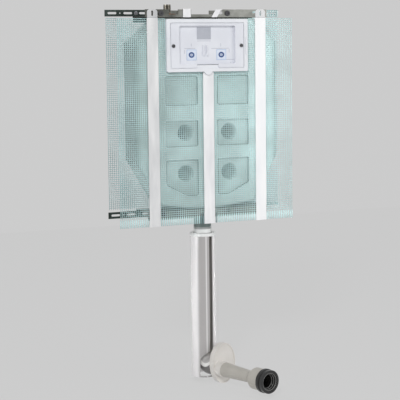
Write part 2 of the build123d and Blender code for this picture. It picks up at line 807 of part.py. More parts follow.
with BuildPart() as float_lever:
    lever_rear = inlet_y - head_radius - running_clearance
    rod(lever_rear, lever_thickness, lever_pin_radius + sheet + sheet, (lever_pivot_x, lever_pivot_z))
    rod(lever_rear, lever_thickness, tip_radius, (rod_place[0], lever_pivot_z))
    plate(lever_rear, lever_thickness, (rod_place[0], lever_pivot_x),
          (lever_pivot_z - tip_radius / 2, lever_pivot_z + tip_radius / 2))
    rod(lever_rear + cut_over, lever_thickness + cut_over + cut_over, lever_pin_radius + running_clearance,
        (lever_pivot_x, lever_pivot_z), Mode.SUBTRACT)
float_lever.part.label = "float_lever"
export_step(float_lever.part, "parts/float_lever.step")


def side_rod(xs, radius, y, z, mode=Mode.ADD):
    """Add or cut a round piece that runs along X."""
    with BuildSketch(Plane.YZ.offset(min(xs))) as outline:
        with Locations((y, z)):
            Circle(radius)
    extrude(outline.sketch, amount=abs(xs[1] - xs[0]), mode=mode)


# Lever bracket: two ears behind the tank's front wall, a crossbar and a pivot pin
wall_inside = tank_front + tank_wall
with BuildPart() as lever_bracket:
    for side in (-1, 1):
        block((side * ear_inner, side * (ear_inner + ear_thickness)), (wall_inside, pivot_y + ear_margin),
              (pivot_z - ear_margin, ear_top))
    block((-ear_inner - cut_over, ear_inner + cut_over), (wall_inside, wall_inside + ear_thickness),
          (ear_top - ear_bar, ear_top))
    side_rod((-ear_inner - cut_over, ear_inner + cut_over), pivot_radius, pivot_y, pivot_z)
lever_bracket.part.label = "lever_bracket"
export_step(lever_bracket.part, "parts/lever_bracket.step")

# Flush levers: a pad hangs in front, and a rounded finger reaches under its yoke
finger_y = pivot_y + finger_arm
for name, low, high, finger in (
    ("full_flush_lever", -lever_outer, -lever_inner, (-finger_outer, -finger_inner)),
    ("half_flush_lever", lever_inner, lever_outer, (finger_inner, finger_outer)),
):
    with BuildPart() as flush_lever:
        side_rod((low, high), pivot_radius + sheet + sheet, pivot_y, pivot_z)
        block((low, high), (pivot_y - pad_thickness / 2, pivot_y + pad_thickness / 2),
              (pivot_z - pad_drop, pivot_z))
        side_rod(finger, finger_radius, finger_y, pivot_z)
        block(finger, (pivot_y, finger_y), (pivot_z - finger_radius / 2, pivot_z + finger_radius / 2))
        side_rod((low - cut_over, high + cut_over), pivot_radius + running_clearance, pivot_y, pivot_z,
                 Mode.SUBTRACT)
    flush_lever.part.label = name
    export_step(flush_lever.part, f"parts/{name}.step")

# Flush valve: gasket, seat with spigot, cage, then the stem and the half-flush sleeve
outlet = (0, pipe_y)
floor_inside = tank_floor + tank_wall
with BuildPart() as outlet_gasket:
    ring(floor_inside, gasket_thickness, seat_flange_radius - sheet, spigot_radius + cut_over, outlet)
outlet_gasket.part.label = "outlet_gasket"
export_step(outlet_gasket.part, "parts/outlet_gasket.step")

flange_bottom = floor_inside + gasket_thickness
flange_top = flange_bottom + seat_flange
seat_top = flange_top + seat_height
with BuildPart() as valve_seat:
    ring(collar_bottom, flange_top - collar_bottom, spigot_radius, spigot_bore, outlet)
    ring(flange_bottom, seat_flange, seat_flange_radius, spigot_bore, outlet)
    ring(flange_top, seat_height, seat_radius, spigot_bore, outlet)
valve_seat.part.label = "valve_seat"
export_step(valve_seat.part, "parts/valve_seat.step")

with BuildPart() as valve_cage:
    ring(flange_top, sheet + sheet, seat_flange_radius, seat_radius + cut_over, outlet)
    ring(cage_top - cage_ring, cage_ring, seat_flange_radius, sleeve_radius + running_clearance, outlet)
    for turn in (45, 135, 225, 315):
        post_place = (cage_post_ring * cos(radians(turn)), pipe_y + cage_post_ring * sin(radians(turn)))
        ring(flange_top, cage_top - flange_top, cage_post_radius, 0, post_place)
valve_cage.part.label = "valve_cage"
export_step(valve_cage.part, "parts/valve_cage.step")

seal_bottom = seat_top + soft_gap
stem_bottom = seal_bottom + seal_thickness
with BuildPart() as valve_seal:
    ring(seal_bottom, seal_thickness, seat_radius, stem_bore, outlet)
valve_seal.part.label = "valve_seal"
export_step(valve_seal.part, "parts/valve_seal.step")

yoke_bottom = pivot_z + finger_radius + float_gap
with BuildPart() as overflow_stem:
    ring(stem_bottom, stem_top - stem_bottom, stem_radius, stem_bore, outlet)
    ring(stem_bottom, stem_flange, seat_radius - sheet, stem_bore, outlet)
    block((-finger_inner + float_gap, -finger_inner + yoke_width),
          (pipe_y - yoke_width / 2, pipe_y + yoke_width / 2),
          (stem_top - yoke_root, yoke_bottom + yoke_height))
    block((-finger_outer, -finger_inner + yoke_width), (pipe_y - yoke_width / 2, pipe_y + yoke_width / 2),
          (yoke_bottom, yoke_bottom + yoke_height))
    ring(stem_top - yoke_root - cut_over, yoke_root + cut_over, stem_bore, 0, outlet, Mode.SUBTRACT)
overflow_stem.part.label = "overflow_stem"
export_step(overflow_stem.part, "parts/overflow_stem.step")

with BuildPart() as half_flush_sleeve:
    ring(sleeve_bottom, sleeve_top - sleeve_bottom, sleeve_radius, stem_radius + running_clearance, outlet)
    block((sleeve_arm_x, finger_inner + yoke_width / 2), (pipe_y - yoke_width / 2, pipe_y + yoke_width / 2),
          (sleeve_top - yoke_height, sleeve_top))
    block((finger_inner - yoke_width / 2, finger_inner + yoke_width / 2),
          (pipe_y + sleeve_post_y, pipe_y + yoke_width),
          (sleeve_top - yoke_height, yoke_bottom + yoke_height))
    block((finger_inner - yoke_width / 2, finger_outer), (pipe_y - yoke_width / 2, pipe_y + yoke_width),
          (yoke_bottom, yoke_bottom + yoke_height))
half_flush_sleeve.part.label = "half_flush_sleeve"
export_step(half_flush_sleeve.part, "parts/half_flush_sleeve.step")

# Outlet under the neck
with BuildPart() as outlet_collar:
    ring(collar_bottom, neck_bottom - collar_bottom, neck_radius + collar_step, spigot_radius, outlet)
outlet_collar.part.label = "outlet_collar"
export_step(outlet_collar.part, "parts/outlet_collar.step")

pipe_top = collar_bottom - float_gap
with BuildPart() as outlet_nut:
    with BuildSketch(Plane.XY.offset(nut_bottom)) as nut_outline:
        with Locations(outlet):
            Circle(nut_radius)
            Circle(pipe_radius + running_clearance, mode=Mode.SUBTRACT)
            with PolarLocations(nut_radius, nut_grips):
                Circle(grip_radius, mode=Mode.SUBTRACT)
    extrude(nut_outline.sketch, amount=pipe_top - nut_bottom)
outlet_nut.part.label = "outlet_nut"
export_step(outlet_nut.part, "parts/outlet_nut.step")

# Flush pipe, bend and split sleeve
aim = (sin(radians(bend_turn)), -cos(radians(bend_turn)))
socket_top = bend_z + bend_radius + bend_socket
with BuildPart() as flush_pipe:
    ring(socket_top, pipe_top - socket_top, pipe_radius, pipe_bore, outlet)
flush_pipe.part.label = "flush_pipe"
export_step(flush_pipe.part, "parts/flush_pipe.step")


def along(distance):
    """Give a sketch plane across the outlet branch, a distance out from the pipe's axis."""
    return Plane(origin=(distance * aim[0], pipe_y + distance * aim[1], bend_z),
                 x_dir=(-aim[1], aim[0], 0), z_dir=(aim[0], aim[1], 0))


def branch(start, end, outer, inner, outer_end=0, inner_end=0):
    """Add a round or tapered tube along the outlet branch."""
    for radius, radius_end, mode in ((outer, outer_end or outer, Mode.ADD),
                                     (inner, inner_end or inner, Mode.SUBTRACT)):
        with BuildSketch(along(start)) as near:
            Circle(radius)
        with BuildSketch(along(end)) as far:
            Circle(radius_end)
        loft(sections=[near.sketch, far.sketch], mode=mode)


with BuildPart() as flush_bend:
    bend_bore = tube_radius + running_clearance
    ring(bend_z + bend_radius, bend_socket, pipe_radius, bend_bore, outlet)
    with BuildSketch(Plane.XY.offset(bend_z + bend_radius)) as bend_section:
        with Locations(outlet):
            Circle(bend_outer)
            Circle(bend_bore, mode=Mode.SUBTRACT)
    bend_axis = Axis((bend_radius * aim[0], pipe_y + bend_radius * aim[1], bend_z + bend_radius),
                     (aim[1], -aim[0], 0))
    revolve(bend_section.sketch, axis=bend_axis, revolution_arc=90)
    branch(bend_radius, bend_end, bend_outer, bend_bore)
flush_bend.part.label = "flush_bend"
export_step(flush_bend.part, "parts/flush_bend.step")

with BuildPart() as pipe_sleeve:
    shell_top = nut_bottom - soft_gap
    ring(sleeve_foot, shell_top - sleeve_foot, shell_radius, shell_radius - shell_wall, outlet)
    ring(shell_top - shell_lip, shell_lip, shell_radius - shell_wall / 2,
         pipe_radius + running_clearance, outlet)
    with BuildSketch(Plane(origin=(0, pipe_y, bend_z), x_dir=(aim[0], aim[1], 0), z_dir=(0, 0, 1))) as slit:
        with Locations((shell_radius / 2 + pipe_radius / 2, 0)):
            Rectangle(shell_radius, slit_width)
    extrude(slit.sketch, amount=shell_top - bend_z + cut_over, mode=Mode.SUBTRACT)
    gate_foot = sleeve_foot + foot_rim - bend_z
    with BuildSketch(along(0)) as gate:
        with BuildLine():
            Line((-gate_half_width, gate_foot), (-gate_half_width, gate_shoulder))
            ThreePointArc((-gate_half_width, gate_shoulder), (0, gate_top), (gate_half_width, gate_shoulder))
            Line((gate_half_width, gate_shoulder), (gate_half_width, gate_foot))
            Line((gate_half_width, gate_foot), (-gate_half_width, gate_foot))
        make_face()
    extrude(gate.sketch, amount=shell_radius + cut_over, mode=Mode.SUBTRACT)
pipe_sleeve.part.label = "pipe_sleeve"
export_step(pipe_sleeve.part, "parts/pipe_sleeve.step")

# Rosette: an oval dish, its hub off the middle, that slides on the connecting tube
with BuildPart() as rosette:
    with BuildSketch(along(rosette_start)) as dish:
        with Locations((rosette_shift_x, rosette_shift_z)):
            Ellipse(rosette_half_width, rosette_half_height)
    extrude(dish.sketch, amount=rosette_depth)
    with BuildSketch(along(rosette_start)) as hollow:
        with Locations((rosette_shift_x, rosette_shift_z)):
            Ellipse(rosette_half_width - rosette_wall, rosette_half_height - rosette_wall)
    extrude(hollow.sketch, amount=rosette_depth - rosette_wall, mode=Mode.SUBTRACT)
    with BuildSketch(along(rosette_start + rosette_depth)) as bead:
        with Locations((rosette_shift_x, rosette_shift_z)):
            Ellipse(rosette_half_width, rosette_half_height)
            Ellipse(rosette_half_width - rosette_bead, rosette_half_height - rosette_bead, mode=Mode.SUBTRACT)
    extrude(bead.sketch, amount=rosette_bead / 2)
    branch(rosette_start, hub_end, hub_radius, tube_radius + running_clearance)
rosette.part.label = "rosette"
export_step(rosette.part, "parts/rosette.step")

with BuildPart() as connecting_tube:
    with BuildSketch(Plane(origin=(0, pipe_y, bend_z), x_dir=(aim[0], aim[1], 0),
                           z_dir=(aim[1], -aim[0], 0))) as section:
        with BuildLine():
            Polyline((tube_start, tube_radius), (hub_end, tube_radius), (flare_start, tube_end_radius),
                     (cup_start, cup_radius), (cup_end, cup_radius), (cup_end, cup_radius - tube_wall),
                     (cup_start, cup_radius - tube_wall), (flare_start, tube_end_radius - tube_wall),
                     (hub_end, tube_radius - tube_wall), (tube_start, tube_radius - tube_wall), close=True)
        make_face()
    revolve(section.sketch, axis=Axis((0, pipe_y, bend_z), (aim[0], aim[1], 0)))
connecting_tube.part.label = "connecting_tube"
export_step(connecting_tube.part, "parts/connecting_tube.step")

with BuildPart() as pan_seal:
    with BuildSketch(Plane(origin=(0, pipe_y, bend_z), x_dir=(aim[0], aim[1], 0),
                           z_dir=(aim[1], -aim[0], 0))) as section:
        with BuildLine():
            Polyline((seal_start, seal_inner), (seal_start, cup_radius - tube_wall),
                     (cup_end, cup_radius - tube_wall),
                     (cup_end, seal_rear_radius), (cup_end + seal_ring, seal_rear_radius),
                     (cup_end + seal_ring + seal_groove / 2, seal_neck_radius),
                     (cup_end + seal_ring + seal_groove, seal_front_radius),
                     (seal_end, seal_front_radius), (seal_end, seal_mouth),
                     (cup_end + seal_ring, seal_inner), close=True)
        make_face()
    revolve(section.sketch, axis=Axis((0, pipe_y, bend_z), (aim[0], aim[1], 0)))
pan_seal.part.label = "pan_seal"
export_step(pan_seal.part, "parts/pan_seal.step")
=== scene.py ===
# %% [markdown]
# A concealed cistern hangs in a wall, so its frame, nets and tank are finished for work, not for show.
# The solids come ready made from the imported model. Here they get their finishes, and the pieces that are
# too fine for solids, such as the plaster nets, are made on top of them.

# %% Load the frame and keep its box
from math import ceil, cos, pi, radians, sin
import bmesh
import bpy
from mathutils import Matrix, Vector


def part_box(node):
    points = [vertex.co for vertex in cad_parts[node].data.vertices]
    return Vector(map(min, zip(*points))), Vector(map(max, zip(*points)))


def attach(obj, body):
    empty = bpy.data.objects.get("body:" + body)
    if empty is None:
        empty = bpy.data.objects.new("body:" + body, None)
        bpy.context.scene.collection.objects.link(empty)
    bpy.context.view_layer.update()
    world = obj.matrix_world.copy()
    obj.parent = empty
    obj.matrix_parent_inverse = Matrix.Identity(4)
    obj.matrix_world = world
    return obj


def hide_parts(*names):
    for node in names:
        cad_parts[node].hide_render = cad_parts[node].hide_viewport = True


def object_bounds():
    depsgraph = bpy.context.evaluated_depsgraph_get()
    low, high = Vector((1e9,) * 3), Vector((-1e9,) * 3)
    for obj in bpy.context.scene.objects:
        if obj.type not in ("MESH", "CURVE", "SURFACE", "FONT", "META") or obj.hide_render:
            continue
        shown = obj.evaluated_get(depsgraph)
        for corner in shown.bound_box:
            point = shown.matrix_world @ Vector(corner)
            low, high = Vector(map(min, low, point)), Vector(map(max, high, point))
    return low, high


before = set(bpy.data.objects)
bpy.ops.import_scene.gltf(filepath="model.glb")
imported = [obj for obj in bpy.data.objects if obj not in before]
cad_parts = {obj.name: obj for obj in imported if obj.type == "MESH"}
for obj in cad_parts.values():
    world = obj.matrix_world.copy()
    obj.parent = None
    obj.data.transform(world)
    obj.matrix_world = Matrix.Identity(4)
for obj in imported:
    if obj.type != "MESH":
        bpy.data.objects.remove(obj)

cad_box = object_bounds()
MM = 0.001
print("solids in the frame:", len(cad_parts))

# %% [markdown]
# The photograph was taken from the left of the front, a little above the middle of the tank. The place,
# the turn and the lens were worked out from points that can be found on the object, such as the ends of
# the straps. A long lens keeps the uprights nearly parallel, so no lens shift is needed.

# %% Camera
photo_size = 400
focal_pixels = 1300.7
sensor_width = 36.0
camera_place = Vector((-1.3553, -3.1682, -0.0834))
camera_yaw = radians(23.357)
camera_pitch = radians(-6.530)
camera_roll = radians(-0.668)


def camera_turn(yaw, pitch, roll):
    """Give the camera's rotation from its heading, its tilt and its roll."""
    ahead = Vector((sin(yaw) * cos(pitch), cos(yaw) * cos(pitch), sin(pitch)))
    level = Vector((cos(yaw), -sin(yaw), 0))
    upright = level.cross(ahead)
    right = level * cos(roll) + upright * sin(roll)
    up = upright * cos(roll) - level * sin(roll)
    return Matrix((right, up, -ahead)).transposed()


camera_data = bpy.data.cameras.new("camera")
camera_data.sensor_width = sensor_width
camera_data.lens = sensor_width * focal_pixels / photo_size
camera = bpy.data.objects.new("camera", camera_data)
bpy.context.scene.collection.objects.link(camera)
camera_matrix = camera_turn(camera_yaw, camera_pitch, camera_roll).to_4x4()
camera.matrix_world = Matrix.Translation(camera_place) @ camera_matrix
bpy.context.scene.camera = camera
bpy.context.scene.view_settings.view_transform = "Standard"
print("lens in mm:", round(camera_data.lens, 1))

# %% [markdown]
# Colours are read from the photograph as screen values from 0 to 255. Blender's sockets want linear
# light, so one helper turns the first into the second.

# %% Colour helper


def shade(red, green, blue):
    """Turn a screen colour into the linear colour that a socket wants, by the screens' standard curve."""
    linear = []
    for value in (red, green, blue):
        part = value / 255
        linear.append(part / 12.92 if part <= 0.04045 else ((part + 0.055) / 1.055) ** 2.4)
    return (*linear, 1.0)


# %% [markdown]
# Most finishes here are moulded plastic or sheet metal. They differ in tone, gloss and grain, but they are
# made the same way: a slow noise drifts the colour between two close tones, and a fine noise lifts the
# surface and breaks up the gloss. Object coordinates keep each pattern fixed to its piece. A stretch along
# one axis turns the same noise into the streaks of rolled or painted sheet. Some finishes also get a painted
# falloff, painted light that makes the piece darker at the left and lighter at the right.

# %% Finish with a drifting tone, a fine grain and a painted falloff
tone_edges = (0.35, 0.65)
painted_falloff_edges = (0.22, 0.78)
painted_falloff_reach = 0.22
drift_detail = 3.0
grain_detail = 2.0
grains_per_bump = 10
coat_rough = 0.08


def finish(name, tone, far_tone, patch, grain, rough, rough_spread=0.08, lift=0.15, metal=0.0, coat=0.0,
           stretch=(1.0, 1.0, 1.0), painted_falloff=None):
    """Build a finish. Patch and grain are the sizes of the drift and of the fine grain, in metres.

    A painted falloff is painted light that runs between two places along X. The far tone prevails at the
    first and the near tone at the second.
    """
    material = bpy.data.materials.new(name)
    material.use_nodes = True
    nodes = material.node_tree.nodes
    links = material.node_tree.links
    shader = nodes["Principled BSDF"]
    shader.inputs["Metallic"].default_value = metal
    shader.inputs["Coat Weight"].default_value = coat
    shader.inputs["Coat Roughness"].default_value = coat_rough
    place = nodes.new("ShaderNodeTexCoord")
    scaled = nodes.new("ShaderNodeMapping")
    scaled.inputs["Scale"].default_value = stretch
    links.new(place.outputs["Object"], scaled.inputs["Vector"])
    drift = nodes.new("ShaderNodeTexNoise")
    drift.inputs["Scale"].default_value = 1 / patch
    drift.inputs["Detail"].default_value = drift_detail
    links.new(scaled.outputs["Vector"], drift.inputs["Vector"])
    tones = nodes.new("ShaderNodeValToRGB")
    edges = painted_falloff_edges if painted_falloff else tone_edges
    for stop, edge, colour in zip(tones.color_ramp.elements, edges, (far_tone, tone)):
        stop.position = edge
        stop.color = shade(*colour)
    # painted falloff: painted light, the tone shifts along X from the far tone to the near tone
    if painted_falloff:
        apart = nodes.new("ShaderNodeSeparateXYZ")
        across = nodes.new("ShaderNodeMapRange")
        across.inputs["From Min"].default_value = painted_falloff[0]
        across.inputs["From Max"].default_value = painted_falloff[1]
        across.inputs["To Min"].default_value = -painted_falloff_reach
        across.inputs["To Max"].default_value = painted_falloff_reach
        wash = nodes.new("ShaderNodeMath")
        links.new(place.outputs["Object"], apart.inputs["Vector"])
        links.new(apart.outputs["X"], across.inputs["Value"])
        links.new(drift.outputs["Fac"], wash.inputs[0])
        links.new(across.outputs["Result"], wash.inputs[1])
        links.new(wash.outputs[0], tones.inputs["Fac"])
    else:
        links.new(drift.outputs["Fac"], tones.inputs["Fac"])
    links.new(tones.outputs["Color"], shader.inputs["Base Color"])
    fine = nodes.new("ShaderNodeTexNoise")
    fine.inputs["Scale"].default_value = 1 / grain
    fine.inputs["Detail"].default_value = grain_detail
    links.new(scaled.outputs["Vector"], fine.inputs["Vector"])
    gloss = nodes.new("ShaderNodeMapRange")
    gloss.inputs["To Min"].default_value = rough - rough_spread
    gloss.inputs["To Max"].default_value = rough + rough_spread
    links.new(fine.outputs["Fac"], gloss.inputs["Value"])
    links.new(gloss.outputs["Result"], shader.inputs["Roughness"])
    bump = nodes.new("ShaderNodeBump")
    bump.inputs["Strength"].default_value = lift
    bump.inputs["Distance"].default_value = grain / grains_per_bump
    links.new(fine.outputs["Fac"], bump.inputs["Height"])
    links.new(bump.outputs["Normal"], shader.inputs["Normal"])
    return material


print("colour check, mid grey:", round(shade(188, 188, 188)[0], 3))

# %% [markdown]
# The tank is blown from grey-green polyethylene, which has a waxy, slightly uneven skin. The window and the
# cover are white and smoother, because they are injection moulded. The small blue and grey pieces inside
# show only with the cover off, but they get their own plastic too.

# %% Plastics of the tank, the window and the valves
# painted falloff on the tank: painted light, darker at the left and lighter at the right
tank_plastic = finish("tank_plastic", (237, 249, 248), (178, 190, 187), 0.12, 0.004, 0.40, painted_falloff=(-0.2, 0.2))
bead_pale = finish("bead_pale", (236, 246, 246), (222, 234, 233), 0.05, 0.002, 0.34)
bead_shade = finish("bead_shade", (132, 146, 143), (120, 134, 131), 0.05, 0.002, 0.50)
window_white = finish("window_white", (230, 232, 236), (223, 225, 230), 0.08, 0.003, 0.38)
cover_white = finish("cover_white", (225, 227, 233), (218, 220, 227), 0.06, 0.003, 0.40)
label_grey = finish("label_grey", (180, 183, 192), (174, 177, 186), 0.02, 0.001, 0.55)
field_pale = finish("field_pale", (222, 229, 241), (214, 222, 236), 0.02, 0.001, 0.50)
icon_blue = finish("icon_blue", (52, 84, 138), (44, 74, 126), 0.01, 0.001, 0.50)
border_blue = finish("border_blue", (178, 198, 226), (168, 190, 220), 0.01, 0.001, 0.50)
line_grey = finish("line_grey", (176, 178, 190), (166, 168, 181), 0.01, 0.001, 0.50)
clip_white = finish("clip_white", (240, 240, 240), (230, 230, 232), 0.02, 0.002, 0.40)
valve_white = finish("valve_white", (226, 228, 228), (218, 221, 221), 0.03, 0.002, 0.40)
float_grey = finish("float_grey", (176, 184, 188), (166, 175, 179), 0.02, 0.0015, 0.70)
lever_blue = finish("lever_blue", (72, 118, 168), (64, 108, 158), 0.02, 0.002, 0.42)
handle_blue = finish("handle_blue", (52, 88, 150), (46, 80, 140), 0.02, 0.002, 0.42)
screw_dark = finish("screw_dark", (56, 56, 60), (40, 40, 44), 0.008, 0.001, 0.40)
print("plastics so far:", len(bpy.data.materials))

# %% [markdown]
# The drain pieces below the tank come from other makers' moulds on a real cistern, so their whites differ:
# the nut is a cool white, the pipes a warmer grey, and the sleeve is a glossy film of recycled plastic. The
# seals are black rubber with a dull shine.

# %% Plastics and rubber of the drain
outlet_light = finish("outlet_light", (240, 241, 240), (230, 232, 231), 0.03, 0.002, 0.34)
pipe_grey = finish("pipe_grey", (152, 150, 146), (140, 138, 133), 0.06, 0.002, 0.34)
rosette_white = finish("rosette_white", (226, 222, 217), (216, 212, 206), 0.05, 0.002, 0.30, coat=0.6)
tube_grey = finish("tube_grey", (190, 186, 178), (180, 176, 168), 0.06, 0.002, 0.34)
# painted shade: the elbow is a darker grey than the other pipes, for the shadow inside the sleeve
elbow_shade_grey = finish("elbow_shade_grey", (112, 109, 108), (98, 95, 94), 0.04, 0.002, 0.24, coat=0.6)
sleeve_grey = finish("sleeve_grey", (250, 248, 248), (242, 240, 241), 0.10, 0.003, 0.20, coat=0.8)
seal_black = finish("seal_black", (18, 17, 17), (12, 12, 12), 0.01, 0.001, 0.30, coat=0.4)
# painted highlight: the lips are the seal's black rubber, given a lighter grey
lip_highlight_grey = finish("lip_highlight_grey", (112, 111, 110), (88, 87, 86), 0.01, 0.001, 0.26, coat=0.6)
# painted falloff on the nets: painted light, darker at the left and lighter at the right
net_front = finish("net_front", (222, 255, 255), (182, 211, 211), 0.05, 0.001, 0.50, painted_falloff=(-0.24, 0.24))
# painted shade: the rear net gets a darker tone than the front net, as it hangs behind the tank
net_rear_shaded = finish("net_rear_shaded", (188, 228, 230), (158, 188, 189), 0.05, 0.001, 0.50, painted_falloff=(-0.24, 0.24))
print("plastics and rubber:", len(bpy.data.materials))

# %% [markdown]
# Zinc-coated sheet has a faint crystal pattern and is a metal, so the same recipe gets a metallic value and
# a small patch. The left wall arms are darker and the right ones bright. The straps are painted white, and
# their three whites are painted light: darker at the left and brighter at the right, where more light falls.
# The paint keeps the long streaks of the rolled sheet.

# %% Metals and painted sheet
# rolled sheet gets a painted falloff: painted light, darker at the left and lighter at the right
rolled = {"patch": 0.03, "grain": 0.002, "rough": 0.36, "painted_falloff": (-0.16, 0.16)}
perforated = {"patch": 0.014, "grain": 0.002}
painted = {"patch": 0.03, "grain": 0.004, "rough": 0.34, "lift": 0.3, "stretch": (1.0, 1.0, 0.22)}
rail_zinc = finish("rail_zinc", (136, 137, 132), (74, 75, 70), metal=0.6, **rolled)
low_zinc = finish("low_zinc", (146, 150, 146), (112, 116, 112), metal=0.5, **rolled)
arm_dark = finish("arm_dark", (62, 72, 68), (40, 50, 46), rough=0.42, metal=0.6, **perforated)
arm_bright = finish("arm_bright", (206, 214, 213), (188, 197, 196), rough=0.36, metal=0.4, **perforated)
# painted light: three tones of one white paint, darker to the left and brighter to the right
strap_left = finish("strap_left", (229, 229, 229), (206, 207, 208), **painted)
strap_centre = finish("strap_centre", (242, 242, 243), (223, 224, 226), **painted)
strap_right = finish("strap_right", (251, 251, 251), (243, 244, 246), **painted)
screw_steel = finish("screw_steel", (150, 151, 154), (128, 129, 133), 0.004, 0.001, 0.32, metal=0.9)
chromed = finish("chromed", (138, 134, 126), (112, 108, 100), 0.01, 0.002, 0.12, 0.03, 0.03, metal=1.0)
copper_tone = finish("copper_tone", (176, 118, 82), (150, 96, 64), 0.008, 0.001, 0.34, metal=0.8)
valve_brass = finish("valve_brass", (190, 164, 106), (170, 144, 90), 0.01, 0.001, 0.30, metal=0.9)
print("finishes in all:", len(bpy.data.materials))

# %% [markdown]
# Some finishes change with the place on the piece, and such a rule takes a few math nodes. Three small
# helpers keep those trees readable, and also the net's tree further down.

# %% Helpers for node trees


def feed(tree, value, socket):
    """Link a socket, or set a plain value, on the socket given."""
    if isinstance(value, bpy.types.NodeSocket):
        tree.links.new(value, socket)
    else:
        socket.default_value = value


def math_node(tree, operation, first, second=0.0):
    """Add a math node, fed by sockets or by plain numbers, and give its result."""
    node = tree.nodes.new("ShaderNodeMath")
    node.operation = operation
    feed(tree, first, node.inputs[0])
    feed(tree, second, node.inputs[1])
    return node.outputs[0]


def vector_node(tree, x, y, z):
    """Add a node that joins three values into a vector."""
    node = tree.nodes.new("ShaderNodeCombineXYZ")
    for index, value in enumerate((x, y, z)):
        feed(tree, value, node.inputs[index])
    return node.outputs[0]


print("node helpers ready")

# %% [markdown]
# Where a tone follows the place on a piece, the rule is a share from 0 to 1, and the share mixes another tone
# into the finish. A share rises or falls smoothly between two places, and a band is a rise and a fall.

# %% Helpers for tones that follow the place


def ramp(tree, value, low, high):
    """Rise smoothly from 0 to 1 while the value goes from low to high."""
    node = tree.nodes.new("ShaderNodeMapRange")
    node.interpolation_type = "SMOOTHSTEP"
    feed(tree, value, node.inputs["Value"])
    node.inputs["From Min"].default_value = low
    node.inputs["From Max"].default_value = high
    return node.outputs["Result"]


def fall(tree, value, low, high):
    """Fall smoothly from 1 to 0 while the value goes from low to high."""
    return math_node(tree, "SUBTRACT", 1.0, ramp(tree, value, low, high))


def band(tree, value, near_edge, far_edge):
    """Give 1 between two soft edges and 0 outside them. Each edge has its own low and high end."""
    return math_node(tree, "MULTIPLY", ramp(tree, value, *near_edge), fall(tree, value, *far_edge))


def tint(material, share, tone):
    """Mix another tone into a finish by a share that a node gives."""
    tree = material.node_tree
    shader = tree.nodes["Principled BSDF"]
    given = shader.inputs["Base Color"].links[0].from_socket
    mix = tree.nodes.new("ShaderNodeMix")
    mix.data_type = "RGBA"
    feed(tree, share, mix.inputs[0])
    tree.links.new(given, mix.inputs[6])
    mix.inputs[7].default_value = shade(*tone)
    tree.links.new(mix.outputs[2], shader.inputs["Base Color"])


def object_place(tree):
    """Give the sockets of the place on the object."""
    place = tree.nodes.new("ShaderNodeTexCoord")
    apart = tree.nodes.new("ShaderNodeSeparateXYZ")
    tree.links.new(place.outputs["Object"], apart.inputs["Vector"])
    return apart.outputs["X"], apart.outputs["Y"], apart.outputs["Z"]


print("tone helpers ready")

# %% [markdown]
# The tank's wall gets painted shade that follows the place on it: darker in the conical dimples and at the
# outlet neck, where shade falls, and on the flanks, which face away from the light. Each of the three has
# its own share, and the largest one counts.

# %% Painted shade on the tank's wall
front_half = 125 * MM
dimple_depths = (-82 * MM, -66 * MM)
neck_depths = (475 * MM, 505 * MM)
flank_places = (180 * MM, 199 * MM)
dimple_shade_share, neck_shade_share, flank_shade_share = 0.62, 0.92, 0.54
tank_shade_tone = (96, 112, 110)
tank_tree = tank_plastic.node_tree
x, y, z = object_place(tank_tree)
sideways = math_node(tank_tree, "ABSOLUTE", x)
on_front = math_node(tank_tree, "LESS_THAN", sideways, front_half)
in_dimple = math_node(tank_tree, "MULTIPLY", ramp(tank_tree, y, *dimple_depths), on_front)
at_neck = ramp(tank_tree, math_node(tank_tree, "MULTIPLY", z, -1.0), *neck_depths)
on_flank = ramp(tank_tree, sideways, *flank_places)
tank_shade_share = math_node(tank_tree, "MULTIPLY", in_dimple, dimple_shade_share)
for part, part_share in ((at_neck, neck_shade_share), (on_flank, flank_shade_share)):
    share = math_node(tank_tree, "MULTIPLY", part, part_share)
    tank_shade_share = math_node(tank_tree, "MAXIMUM", tank_shade_share, share)
# painted shade mixed into the tank's tone
tint(tank_plastic, tank_shade_share, tank_shade_tone)
print("nodes in the tank's finish:", len(tank_tree.nodes))

# %% [markdown]
# The straps end above in a tab that is bent over the rail. The tab is greyer than the strap, and a thin
# line of painted shade marks the bend between the two.

# %% Tabs of the straps
tab_edge = (2.6 * MM, 3.2 * MM)
crease_shade_edges = ((0.8 * MM, 1.6 * MM), (3.0 * MM, 4.2 * MM))
tab_share, crease_shade_share = 0.30, 0.55
tab_grey_and_crease_shade_tone = (120, 122, 124)
for material in (strap_left, strap_centre, strap_right):
    strap_tree = material.node_tree
    x, y, z = object_place(strap_tree)
    on_tab = math_node(strap_tree, "MULTIPLY", ramp(strap_tree, z, *tab_edge), tab_share)
    crease_shade = math_node(strap_tree, "MULTIPLY", band(strap_tree, z, *crease_shade_edges), crease_shade_share)
    # greyer tab above, and painted shade in the bend
    tint(material, math_node(strap_tree, "MAXIMUM", on_tab, crease_shade), tab_grey_and_crease_shade_tone)
print("nodes in a strap's finish:", len(strap_tree.nodes))

# %% [markdown]
# The sleeve is an extruded film. Its tone follows the angle round the pipe: milky at the sides and the back,
# greyer in front, where painted shade darkens it, and a painted highlight draws a light seam beside the
# slit.

# %% Painted shade and highlight on the sleeve
pipe_y = -44 * MM
front_shade_edges = ((radians(-56), radians(-38)), (radians(22), radians(32)))
seam_highlight_edges = ((radians(-13), radians(-9)), (radians(-7), radians(-2)))
front_shade_share, seam_highlight_share = 0.86, 0.50
front_shade_tone = (160, 157, 156)
sleeve_tree = sleeve_grey.node_tree
x, y, z = object_place(sleeve_tree)
around_pipe = math_node(sleeve_tree, "ARCTAN2", x, math_node(sleeve_tree, "SUBTRACT", pipe_y, y))
front_shade = math_node(sleeve_tree, "MULTIPLY", band(sleeve_tree, around_pipe, *front_shade_edges), front_shade_share)
seam_highlight = math_node(sleeve_tree, "MULTIPLY", band(sleeve_tree, around_pipe, *seam_highlight_edges), seam_highlight_share)
# painted shade in front, less a painted highlight along the seam
tint(sleeve_grey, math_node(sleeve_tree, "SUBTRACT", front_shade, seam_highlight), front_shade_tone)
print("nodes in the sleeve's finish:", len(sleeve_tree.nodes))
